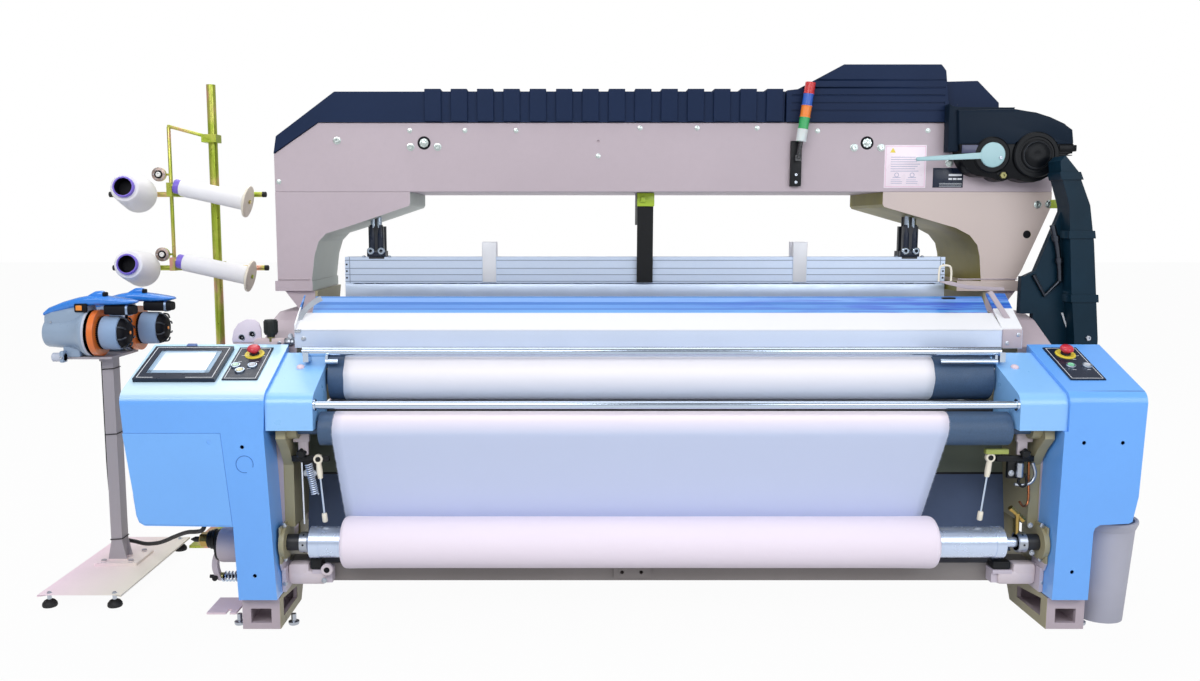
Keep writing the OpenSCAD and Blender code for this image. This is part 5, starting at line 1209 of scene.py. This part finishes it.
def warning_sign():
    """The sheet with a triangle, bars for its text and two round marks, inside a thin border."""
    Shape().box((812, 549.1, 1379), (958, 550.2, 1527), 0.4).fit(
        "sign_plate", plastic("sign_white", (246, 232, 242), 0.3, coat=0.3), "white_paint")
    text = Shape()
    for z in range(1484, 1435, -8):
        text.box((834, 548.8, z), (936 - (z % 5) * 4, 549.3, z + 2.2), 0)
    for x in (836, 890):
        for z in (1394, 1400, 1406):
            text.box((x, 548.8, z), (x + 40 - (z % 7), 549.3, z + 1.6), 0)
        text.box((x + 6, 548.8, 1414), (x + 34, 549.3, 1416), 0)
        text.lathe([(0, 6), (0.5, 6), (0.5, 8), (0, 8)], (x + 20, 549.2, 1424), FRONT, 20)
    text.fit("sign_lines", plastic("sign_grey", (176, 176, 200), 0.5), "grey", smooth=False)
    Shape().prism([(830, 1501), (850, 1501), (840, 1518)], 548.7, 549.3, 0).fit(
        "sign_triangle", button_yellow, "cream", smooth=False)
    border = ((816, 1383, 954, 1384.2), (816, 1521.8, 954, 1523), (816, 1383, 817.2, 1523),
              (952.8, 1383, 954, 1523))
    fields("sign_border", border, 548.8, 549.3, plastic("sign_pink", (232, 176, 206), 0.5), "red")


def name_plate():
    """A dark plate with bare fields."""
    Shape().box((983, 549, 1380), (1089, 550.2, 1448), 0.4).fit("name_plate", black_gloss, "black_paint")
    rows = [(1038, 1420, 1084, 1427), (1038, 1407, 1050, 1413), (1053, 1407, 1066, 1413),
            (1069, 1407, 1084, 1413)]
    rows += [(1006, z, 1084, z + 1) for z in (1384, 1389, 1394)]
    fields("name_plate_fields", rows, 548.7, 549.2, line_white, "white_paint")


gantry_bolts()
sight_holes()
warning_sign()
name_plate()
tab_green = paint("tab_green", (176, 196, 70), 0.4)
Shape().box((1398, 540, 1308), (1428, 548, 1338)).fit("duct_tab", tab_green, "zinc")
lines = Shape().box((-1318, 545.5, 1058), (-1207, 549.9, 1062), 0.6)
lines.box((1086, 545.5, 1058), (1296, 549.9, 1062), 0.6)
lines.fit("bracket_lines", frame_paint_fine, "frame_paint")

# Gear case and its lever

GEAR_X, LEVER_X, CASE_Z = 1307, 1157, 1488


def gear_case():
    shell_tone = paint("case_shell", (20, 33, 48), 0.42, vary=0.1, grain=420, grain_depth=0.25, specular=0.1)
    gloss = paint("case_gloss", (7, 10, 15), 0.32, coat=0.02, vary=0.15, grain=380, grain_depth=0.2,
                  specular=0.14)
    shell = [(1044, 1524), (1036, 1640), (1232, 1643), (1300, 1631), (1351, 1615), (1400, 1593), (1430, 1574),
             (1436, 1530), (1434, 1524), (1376, 1524), (1362, 1543), (1340, 1557), (GEAR_X, 1562),
             (1274, 1557), (1252, 1543), (1238, 1524)]
    rear = [(1012, 1500), (1010, 1661), (1036, 1648), (1234, 1650), (1240, 1600), (1040, 1500)]
    Shape().prism(shell, 481, 537, 7).prism(rear, 496, 537, 3).fit(
        "case_shell", shell_tone, "black_paint", stands_for="dobby_gear_case")
    lobes = [(1044, 1526), (1052, 1472), (1061, 1455), (1074, 1439), (1090, 1425), (1110, 1417), (1159, 1414),
             (1166, 1408), (1178, 1402), (1197, 1399), (1214, 1404), (1224, 1413), (1234, 1413), (1256, 1402),
             (1282, 1397), (GEAR_X, 1396), (1332, 1402), (1356, 1415), (1376, 1440), (1389, 1464),
             (1396, 1486), (1434, 1494), (1438, 1502), (1438, 1526)]
    front = Shape().prism(lobes, 484, 549.6, 5)
    front.lathe([(-40, 0), (-40, 78), (6, 78), (10, 74), (10, 62), (7, 60), (7, 0)], (GEAR_X, 482, CASE_Z),
                FRONT, 72)
    front.lathe([(-30, 0), (-30, 62), (2, 62), (6, 57), (6, 0)], (LEVER_X, 482, CASE_Z), FRONT, 56)
    front.lathe([(-20, 0), (-20, 19), (4, 19), (6, 16), (6, 0)], (1197, 486, 1419), FRONT, 36)
    front.box((1386, 480, 1500), (1446, 530, 1522), 2.5)
    for z in (1486, 1493):
        front.box((1376, 481, z), (1432, 500, z + 2.6), 0.8)
    front.fit("case_lobes", gloss, "black_paint")
    cap = [(-2, 0), (-2, 52), (3, 52), (5.6, 49), (5.6, 45), (4.4, 44), (4.4, 42.6), (6.2, 42), (8.4, 38),
           (9, 10), (8.4, 7), (9, 0)]
    Shape().lathe(cap, (GEAR_X, 475, CASE_Z), FRONT, 72).fit("case_cap", gloss, "black_paint")
    rim = [(GEAR_X + dx, 470.1, CASE_Z + dz) for dx, dz in around(44.2, range(0, 368, 8))]
    ring = Shape().tube(rim, 0.7, 5)
    for x, z in ((1036, 1660), (1232, 1651)):
        ring.box((x, 494, z - 3), (x + 1.5, 496, z - 1.5), 0)
    ring.fit("case_ring", dark_steel, "steel")
    bolt = [(0, 0), (0, 12.5), (6, 12.5), (8, 10.6), (8, 5), (4, 5), (4, 0)]
    Shape().lathe(bolt, (1197, 480, 1419), FRONT, 6).fit("case_bolt", olive, "zinc")
    Shape().box((1052, 477.4, 1494), (1108, 480, 1522), 1).fit(
        "case_label", plastic("label_indigo", (54, 58, 92), 0.35, coat=0.3), "panel")


def dobby_handle():
    """The hand lever: a turned hub with a flat blade, and its screw."""
    handle = Shape().lathe([(-40, 0), (-40, 12), (-1, 12), (-1, 39), (1, 42), (8, 42.5), (10.4, 40.5),
                            (11, 37), (11, 0)], (LEVER_X, 481, CASE_Z), FRONT, 64)
    handle.prism([(1157, 1499), (898, 1480), (895, 1474), (899, 1467), (1130, 1475), (1157, 1478)], 471, 478)
    handle.fit("dobby_handle", paint("lever_tone", (158, 196, 202), 0.3, coat=0.2, vary=0.03), "lever_grey",
               "dobby_arm", "dobby_lever")
    Shape().screw(1183, 470.5, 1478, 5.5).fit("dobby_handle_screw", bolt_steel, "steel", "dobby_arm")


def duct_details():
    """The rod, pipes and screws at the duct."""
    Shape().tube([(1405, 436, 950), (1430, 436, 890), (1466, 436, 836)], 3.2, 8, 5).fit(
        "panel_rod", line_white, "white_paint")
    Shape().screw(1472, 384, 868, 9).screw(1490, 384, 640, 7).screw(1444, 384, 640, 7).fit(
        "duct_screws", bolt_steel, "steel")
    pipes = Shape().tube([(1352, 430, 1250), (1372, 430, 1180), (1384, 430, 1110), (1388, 430, 1060)],
                         9, 12, 5)
    pipes.lathes(bar(-8, 8, 13), [(1366, 430, 1205), (1381, 430, 1130)], (0.2, 0, -1), 20)
    pipes.tube([(1300, 436, 1080), (1340, 434, 1010), (1388, 432, 1060)], 7, 10)
    pipes.fit("panel_pipes", dark_steel, "steel")


gear_case()
dobby_handle()
duct_details()

# Signal tower foot

Shape().box((481, 532, 1384), (519, 549.6, 1540), 3).fit("tower_foot", black_paint, "black_paint")
Shape().screw(500, 532, 1398, 5.5).screw(500, 532, 1424, 5.5).fit("tower_screws", bolt_steel, "steel")

# Heald frames

ROD_X = (-985, 944)


def heald_clevises():
    """The clevises and rods that carry the first heald frame at both ends."""
    black, bright = Shape(), Shape()
    for x in ROD_X:
        black.box((x - 34, 632, 1136), (x + 34, 655, 1158), 4)
        for s in (-1, 1):
            black.lathe([(0, 0), (0, 10), (4, 12.5), (64, 12.5), (84, 9.5), (100, 9), (102, 0)],
                        (x + s * 15, 645, 1150), UP, 20)
            bright.lathe([(-2, 6), (-2, 13), (5, 13), (6.5, 11), (6.5, 6)], (x + s * 19, 631, 1157),
                         FRONT, 24)
            bright.bolt(x + s * 46, 641, 1136, 5, UP)
            bright.lathe(bar(0, 118, 9.6), (x + s * 10.5, 646, 1240), UP, 24)
    black.fit("heald_clevises", black_gloss, "black_paint", "heald_1")
    bright.fit("heald_rods", chrome, "chrome", "heald_1")


def heald_rail():
    """Guide blocks, screws, grooves and the lower rail of the first heald frame."""
    blocks, screws, grooves = Shape(), Shape(), Shape()
    for x in (-577, 547):
        blocks.box((x - 25, 634, 1044), (x + 25, 652, 1188), 4)
    blocks.fit("heald_blocks", plastic("block_white", (232, 234, 240), 0.35, coat=0.2),
               "white_paint", "heald_1")
    for x in (-1094, 1067):
        for z in (1108, 1084, 1060):
            screws.screw(x, 640, z, 3.4)
    screws.fit("heald_screws", dark_steel, "steel", "heald_1")
    for z in (1122, 1093, 1070, 1046):
        grooves.box((-1100, 638.9, z), (1074, 640.3, z + 2.4), 0)
    for x in (-1084, 1056):
        grooves.box((x, 638.9, 1041), (x + 2, 640.3, 1135), 0)
    grooves.fit("heald_grooves", plastic("groove_grey", (132, 146, 170), 0.45),
                "aluminium", "heald_1", smooth=False)
    Shape().box((-1100, 637, 986), (1074, 640.6, 1037), 1.2).fit(
        "heald_lower_rail", heald_high, "aluminium", "heald_1")


heald_clevises()
heald_rail()
Shape().box((-46, 612, 1316), (16, 624, 1364), 3).box((-34, 604, 1330), (-16, 614, 1350), 3).fit(
    "centre_clamp", paint("clamp_lime", (176, 204, 58), 0.3, vary=0.1), "zinc")

# Breast and weft guides

KNOB = (-1279, 304)


def breast_details():
    """End plate, handle, block and bolts of the breast beam."""
    plate = Shape().box((1126, 256, 850), (1189, 283, 911), 2)
    plate.prism([(958, 1060), (1000, 1062), (1060, 1046), (1184, 1040), (1186, 1030), (1060, 1034),
                 (990, 1050)], 395, 401, 1)
    plate.prism([(1088, 1030), (1104, 1034), (1188, 915), (1172, 908)], 300, 306, 1)
    plate.fit("breast_end_plate", frame_paint_fine, "frame_paint")
    Shape().tube([(x, 398, z) for x, z in ((962, 1060), (962, 1092), (968, 1112), (996, 1112), (1003, 1094),
                                           (1003, 1062))], 3.6, 8, 5).fit("breast_handle", cream, "cream")
    Shape().box((956, 334, 1004), (998, 356, 1010), 2).fit("breast_block", guide_black, "guide_black")
    bolts = Shape().box((-1188, 255, 900), (-1168, 262, 912), 1).bolt(-1160, 262, 880, 6)
    bolts.bolt(1176, 256, 894, 5).bolt(1140, 256, 866, 5).fit("breast_bolts", bolt_steel, "steel")


def guide_plate():
    """The pink guide plate, its holes black discs of painted shade, on a beige base."""
    outline = [(-1406, 862), (-1408, 874), (-1402, 902), (-1386, 926), (-1360, 940), (-1334, 940),
               (-1318, 928), (-1311, 908), (-1310, 862)]
    Shape().prism(outline, 300, 307, 1.2).fit("guide_plate", paint(
        "guide_pink", (226, 216, 232), 0.35, coat=0.2, vary=0.02), "white_paint", stands_for="weft_guides")
    # Painted shade: black discs stand for the holes.
    holes = [(-1375, 300.4, 880), (-1340, 300.4, 891)]
    Shape().lathes(bar(0, 1.2, 8.4), holes, FRONT, 28).fit("guide_holes", hole_black, "black_paint")
    base = Shape().box((-1405, 300, 858), (-1308.4, 396, 866))
    base.prism([(-1336, 850), (-1336, 868), (-1322, 878), (-1236, 878), (-1222, 866), (-1222, 850)],
               296, 310, 2)
    base.box((-1316, 300, 722), (-1308.4, 396, 866), 1)
    base.fit("guide_base", paint("guide_beige", (222, 204, 206), 0.4, vary=0.03), "white_paint")


def guide_knob():
    """The fluted black knob on its neck."""
    knob = Shape().lathe([(0, 0), (0, 13), (6, 14), (8, 20), (13, 21.5), (52, 21.5), (57, 19.5), (58, 0)],
                         (*KNOB, 882), UP, 24)
    ribs = [(KNOB[0] + dx, KNOB[1] + dy, 896) for dx, dy in around(21.4, range(0, 360, 15))]
    knob.lathes(bar(0, 38, 1.8), ribs, UP, 6).fit(
        "guide_knob", plastic("knob_black", (22, 30, 30), 0.5), "black_paint")
    Shape().lathe([(0, 0), (0, 9), (12, 9), (12, 12), (18, 12), (18, 0)], (*KNOB, 866), UP, 20).fit(
        "guide_knob_neck", olive, "zinc")


def guide_steel():
    """Eyes, nozzles, bent pipe and bolt of the weft guide."""
    bits = Shape()
    for x, z in ((-1375, 880), (-1340, 891)):
        bits.lathe([(0, 8.2), (2.6, 8.6), (3, 9.8), (2, 11), (0, 11.2)], (x, 300.2, z), FRONT, 28)
        bits.lathe([(0, 0), (0, 2.6), (3, 2), (3, 0)], (x + 2, 300.2, z), FRONT, 16)
    bits.lathe([(0, 0), (0, 12), (3, 14), (20, 14), (22, 11), (30, 10), (30, 0)], (-1230, 292, 866),
               RIGHT, 28)
    bits.lathe(bar(0, 14, 9), (-1214, 298, 884), (0.4, -1, 0.2), 20)
    bits.tube([(-1238, 300, 856), (-1222, 294, 872), (-1204, 296, 878), (-1193, 300, 864)], 4, 8, 5)
    bits.bolt(-1250, 296, 862, 5).fit("guide_steel", steel, "steel")


def guide_blade():
    """The thin bent blade beside the cloth."""
    shape = Shape()
    path = smooth_path([at(-1116, 336, 1008), at(-1140, 326, 994), at(-1162, 314, 974), at(-1180, 306, 948),
                        at(-1188, 302, 916), at(-1189, 300, 884)], 5)
    for p, q in zip(path, path[1:]):
        side = Vector(UP).cross(q - p).normalized() * mm(1.2)
        across = (q - p).cross(side).normalized() * mm(9)
        ends = [shape.ring([c - side - across, c - side + across, c + side + across, c + side - across])
                for c in (p, q)]
        shape.bridge(ends)
    shape.fit("guide_blade", steel, "steel", smooth=False)


breast_details()
guide_plate()
guide_knob()
guide_steel()
guide_blade()

# Roller fittings


def side_fittings(side):
    """Bar, star knob, bolts, pad and bearing flange in front of the roller plate at one side, -1 or 1."""
    black, pale, metal = Shape(), Shape(), Shape()
    label = "left" if side < 0 else "right"
    pad_in, pad_out, pad_top = (1071, 1107, 208) if side < 0 else (1042, 1098, 198)
    for shape, x0, x1, lo, hi, bevel in (
            (black, 1042, 1159, (66, 516), (80, 534), 2),
            (black, pad_in, pad_out, (54, 172.4), (100, pad_top), 4),
            (pale, 1103, 1154, (70, 577), (84, 606), 3), (pale, 1107, 1138, (70, 536), (83, 580), 3),
            (black, 1078, 1130, (68, 462), (84, 517), 3)):
        shape.box((side * x0, *lo), (side * x1, *hi), bevel)
    knob_x, knob_z = side * 1125, 544
    black.lathe([(0, 0), (0, 11), (4, 13), (18, 13), (21, 10), (21, 0)], (knob_x, 66, knob_z), FRONT, 24)
    black.lathes([(4, 0), (4, 4.6), (6, 5.4), (14, 5.4), (16, 4), (16, 0)],
                 [(knob_x + dx, 66, knob_z + dz) for dx, dz in around(11.5, range(18, 378, 72))], FRONT, 12)
    for x, y, z, size in ((1090, 68, 479, 7), (1116, 68, 479, 7), (1180, 34, 321, 6), (1180, 34, 213, 6)):
        metal.bolt(side * x, y, z, size)
    flange = [(0, 16.4), (0, 30), (2, 32), (26, 32), (28, 30), (28, 16.4)]
    metal.lathe(flange, (side * 1106, *ROLL), (side, 0, 0), 40)
    for c, s in around(1, range(0, 360, 60)):
        black.lathe(bar(0, 1, 3.4), (side * 1120, ROLL[0] + 31.4 * c, ROLL[1] + 31.4 * s), (0, c, s), 12)
    black.fit(label + "_bar_fittings", fit_black, "black_paint", stands_for="roller_fittings")
    pale.fit(label + "_bar_bracket", beige, "frame_paint")
    metal.fit(label + "_bar_metal", steel, "steel")


def arch_plates():
    """Plates in the arch behind the cloth roll's bearings, painted olive as shade."""
    plates = Shape()
    for s in (-1, 1):
        plates.box((s * 1184, 240, 222), (s * 1190.2, 336, 314), 1)
    # Painted shade: olive plates close the arch.
    plates.fit("arch_plates", paint("arch_shade_olive", (120, 112, 70), 0.5, vary=0.1), "frame_paint")


def rest_arms():
    """Rounded rest arms below the roll, with the left one's bush, its bore a black disc of painted shade, and
    their bolts.
    """
    arms, bolts = Shape(), Shape()
    for s, post_in in ((-1, 1110), (1, 1104)):
        arms.box((s * 1056, 50, 122), (s * 1176, 100, 170), 14)
        arms.box((s * post_in, 52, 130), (s * 1178, 100, 192), 12)
    bush = (-1052, 54, 176)
    arms.lathe([(0, 0), (0, 17), (2, 19), (14, 19), (16, 17), (16, 0)], bush, FRONT, 32)
    arms.fit("rest_arms", beige, "frame_paint")
    # Painted shade: a black disc on the bush's face stands for its bore.
    Shape().lathe(bar(16, 17, 9), bush, FRONT, 24).fit("rest_arm_bores", hole_black, "black_paint")
    for x, y, z in ((-1183, 34, 134), (-1062, 46, 140), (1189, 34, 138), (1152, 34, 234), (1148, 46, 318)):
        bolts.bolt(x, y, z, 6.5)
    bolts.fit("rest_arm_bolts", steel, "steel")


def coil(a, b, radius, wire, turns):
    """A coil spring between two points."""
    a, b = at(*a), at(*b)
    axis, u, v = axes_for(b - a)
    turn = 14
    wound_up = circle(Vector((0, 0, 0)), u, v, radius, turn)
    count = turns * turn
    return Shape().tube([a + (b - a) * (i / count) + wound_up[i % turn] for i in range(count + 1)], wire, 6)


def eye_rod(label, x0, z0, x1, z1):
    """An eye over a pivot, its pale fork, the thin rod and the clevis at its lower end."""
    axis = at(x1, 71, z1) - at(x0, 71, z0)
    pivot = (x0, 70, z0)
    eye = Shape().lathe([(-6, 8), (-7, 13.5), (-5, 15), (5, 15), (7, 13.5), (6, 8), (-6, 8)],
                        pivot, FRONT, 32)
    eye.lathe([(12, 0), (12, 8), (40, 9.5), (62, 7.5), (64, 0)], pivot, axis, 20)
    eye.lathe([(174, 0), (174, 7), (178, 8.5), (200, 8.5), (203, 6.5), (203, 0)], pivot, axis, 20)
    eye.fit(label + "_eye_rod", cream, "cream")
    Shape().lathe(bar(-8, 8, 8), pivot, FRONT, 24).fit(label + "_eye_bearing", fit_black, "black_paint")
    Shape().lathe(bar(60, 178, 4), pivot, axis, 16).fit(label + "_eye_stem", chrome, "chrome")


def right_pipes():
    """Link, valve, hoses, copper tube and tee at the right."""
    Shape().box((1004, 58, 541), (1076, 78, 557), 3).fit(
        "right_link", paint("link_green", (168, 178, 92), 0.4), "zinc")
    valve = Shape()
    valve.lathe([(0, 0), (0, 9), (2, 11), (46, 11), (48, 8), (48, 0)], (1112, 60, 516), (0, 0, -1), 28)
    valve.lathe([(10, 11), (10, 12.4), (13, 12.4), (13, 11)], (1112, 60, 516), (0, 0, -1), 28)
    valve.tube([(1152, 62, 514), (1161, 60, 480), (1150, 58, 454), (1124, 58, 444), (1098, 60, 446)],
               5.2, 12, 8)
    valve.fit("right_valve", steel, "steel")
    Shape().tube([(1112, 58, 470), (1108, 56, 452), (1120, 52, 440), (1134, 56, 452), (1130, 62, 480)],
                 4, 8, 6).fit("right_hose", fit_black, "belt")
    Shape().tube([(1148, 78, 512), (1150, 78, 460), (1152, 76, 400), (1146, 72, 378), (1132, 66, 374),
                  (1116, 58, 390)], 4, 12, 8).fit("right_copper_tube", copper, "zinc")
    tee = Shape().lathe([(0, 0), (0, 7), (58, 7), (58, 10), (66, 10), (66, 0)], (1108, 50, 290), UP, 24)
    tee.lathe([(0, 0), (0, 9.6), (10, 9.6), (10, 8), (46, 8), (46, 9.6), (60, 9.6), (60, 0)], (1084, 50, 374),
              (0.74, 0, -0.67), 6)
    tee.fit("right_tee", brass, "zinc")


for side in (-1, 1):
    side_fittings(side)
arch_plates()
rest_arms()
Shape().tube([(-1126, 62, 514), (-1123, 62, 318)], 2.4, 8).fit("left_thin_rod", line_white, "white_paint")
coil((-1105, 62, 510), (-1087, 62, 412), 10.5, 2, 15).fit("left_coil_hose", aluminium, "steel")
eye_rod("left", -1076, 524, -1062, 350)
eye_rod("right", 1022, 529, 1001, 352)
right_pipes()

# Clutch and levelling bolts

CLUTCH_Y = 200


def clutch():
    """The take-up clutch at the left: drum with its lever, discs, nut, bolts and spring."""
    turned = [(0, 0), (0, 50), (4, 55), (10, 56.5), (60, 56.5), (66, 53), (68, 42), (118, 40), (118, 0)]
    drum = Shape().lathe(turned, (-1436, CLUTCH_Y, 206), RIGHT, 56)
    lever = smooth_path([at(-1436, 190, 196), at(-1448, 188, 170), at(-1452, 188, 136), at(-1444, 190, 104),
                         at(-1432, 192, 90)], 5)
    corners = ((-9, -11), (9, -11), (9, 11), (-9, 11))
    for ends in zip(lever, lever[1:]):
        drum.bridge([drum.ring([c + Vector((mm(dx), mm(dy), 0)) for dx, dy in corners]) for c in ends])
    drum.fit("clutch_drum", beige, "cast", stands_for="take_up_clutch")
    discs = Shape().lathe([(0, 0), (0, 50), (2, 51), (6, 51), (8, 49), (8, 0)], (-1443, CLUTCH_Y, 206),
                          RIGHT, 56)
    for i in range(3):
        r = 33 - 3 * i
        discs.lathe([(0, 0), (0, r), (1.5, r + 1.5), (7, r + 1.5), (8.5, r), (8.5, 0)],
                    (-1457 - i * 9, CLUTCH_Y, 224), RIGHT, 40)
    discs.lathe([(0, 0), (0, 2), (10, 7), (14, 9), (38, 9), (38, 0)], (-1534, CLUTCH_Y, 224), RIGHT, 24)
    discs.lathe(bar(0, 170, 6), (-1474, 194, 100), RIGHT, 20)
    discs.lathe(bar(-8, 4, 9), (-1452, 176, 100), FRONT, 16)
    discs.fit("clutch_discs", fit_black, "black_paint")
    nut = [(0, 0), (0, 20), (4, 24), (24, 24), (28, 20), (28, 0)]
    Shape().lathe(nut, (-1502, CLUTCH_Y, 224), RIGHT, 6).fit("clutch_nut", brass, "zinc")
    bolts = Shape()
    for z in (178, 160):
        bolts.bolt(-1447, 186, z, 7, (-1, -0.3, 0))
    bolts.lathe(bar(0, 12, 13), (-1440, 194, 100), RIGHT, 24).fit("clutch_bolts", olive, "zinc")
    coil((-1430, 194, 100), (-1352, 194, 100), 15, 3.2, 7).fit("clutch_spring", chrome, "steel")


clutch()
Shape().lathes([(0, 0), (0, 15), (4, 17), (10, 17), (12, 8), (34, 8), (34, 0)],
               [(-1330, 40, 0.2), (-1330, 210, 0.2), (-1160, 40, 0.2), (1318, 40, 0.2)], UP, 20).fit(
    "levelling_bolts", steel, "steel")

# Stand and bin details


def stand_details():
    """Domed rubber feet and cable ties, and the stand's bolts."""
    black, bolts = Shape(), Shape()
    for x, y in FEET:
        black.lathe([(0, 0), (0, 22), (4, 24), (12, 23), (20, 17), (24, 10), (24, 0)], (x, y, 0.1), UP, 32)
        bolts.bolt(x, y, 45, 6, UP).lathe(bar(22, 40, 7), (x, y, 0), UP, 20)
    left, right = POST_X[0] - 1.6, POST_X[1] + 1.6
    front, back = POST_Y - 27.6, POST_Y + 27.6
    for z in (746.5, 513.5, 131.5):
        tie = [(left, front, z), (right, front, z + 3), (right, back, z + 3), (left, back, z),
               (left, front, z)]
        for ends in zip(tie, tie[1:]):
            black.tube(ends, 1.8, 6)
    black.fit("stand_feet_and_ties", rubber, "belt")
    for x in (-1950, -1854):
        for y in (468, 584):
            bolts.bolt(x, y, 55, 7, UP)
    bolts.fit("stand_bolts", bolt_steel, "steel")


stand_details()
Shape().lathe([(300, 92), (316, 98.6), (322, 99.4), (326.5, 98), (326.5, 93)], (1412, 112, 0), UP, 72).fit(
    "bin_rim", bin_plastic, "frame_paint")

# Stage and light


def seen_white(tree, kinds, share, plain, white, output):
    """Shows the white shader to the named kinds of ray, by a share, and the plain one to all others."""
    rays = tree.nodes.new("ShaderNodeLightPath")
    seen = tree.nodes.new("ShaderNodeMath")
    seen.operation = "MAXIMUM"
    for kind, socket in zip(kinds, seen.inputs):
        tree.links.new(rays.outputs[kind], socket)
    part = tree.nodes.new("ShaderNodeMath")
    part.operation = "MULTIPLY"
    part.inputs[1].default_value = share
    tree.links.new(seen.outputs[0], part.inputs[0])
    blend = tree.nodes.new("ShaderNodeMixShader")
    for source, socket in zip((part, plain, white), blend.inputs):
        tree.links.new(source.outputs[0], socket)
    tree.links.new(blend.outputs[0], tree.nodes[output].inputs[0])


def white_floor():
    grid = bmesh.new()
    bmesh.ops.create_grid(grid, x_segments=1, y_segments=1, size=30)
    mesh = bpy.data.meshes.new("floor")
    grid.to_mesh(mesh)
    grid.free()
    floor = bpy.data.objects.new("floor", mesh)
    bpy.context.scene.collection.objects.link(floor)
    material = bpy.data.materials.new("floor_white")
    material.use_nodes = True
    tree = material.node_tree
    plain = tree.nodes["Principled BSDF"]
    plain.inputs["Base Color"].default_value = (0.58, 0.58, 0.58, 1)
    plain.inputs["Roughness"].default_value = 0.9
    glow = tree.nodes.new("ShaderNodeEmission")
    seen_white(tree, ("Is Camera Ray", "Is Glossy Ray"), 0.965, plain, glow, "Material Output")
    mesh.materials.append(material)


def white_world():
    world = bpy.data.worlds.new("studio")
    world.use_nodes = True
    bpy.context.scene.world = world
    tree = world.node_tree
    soft = tree.nodes["Background"]
    soft.inputs["Color"].default_value = (0.95, 0.97, 1.0, 1)
    soft.inputs["Strength"].default_value = 0.46
    white = tree.nodes.new("ShaderNodeBackground")
    white.inputs["Color"].default_value = (1, 1, 1, 1)
    seen_white(tree, ("Is Camera Ray", "Is Transmission Ray"), 1.0, soft, white, "World Output")


def lamp(name, where, aim, size, power, tint=(1, 1, 1)):
    light = bpy.data.lights.new(name, "AREA")
    light.shape = "RECTANGLE"
    light.size, light.size_y = size
    light.energy = power
    light.color = tint
    obj = bpy.data.objects.new(name, light)
    bpy.context.scene.collection.objects.link(obj)
    obj.location = where
    obj.rotation_euler = (Vector(aim) - Vector(where)).to_track_quat("-Z", "Y").to_euler()


white_floor()
white_world()
lamp("key", (-1.6, -4.6, 3.6), (0, -0.2, 0.8), (4.0, 2.0), 114)
lamp("fill", (2.8, -4.0, 2.4), (0.3, 0, 0.7), (3.0, 2.0), 56, (0.93, 0.96, 1.0))
lamp("top", (0, 0.2, 4.2), (0, 0, 0), (5.0, 3.0), 80)
lamp("back", (0, 3.4, 4.6), (0, -0.3, 0.8), (6.0, 2.4), 120)

bpy.context.scene.view_settings.view_transform = "Standard"
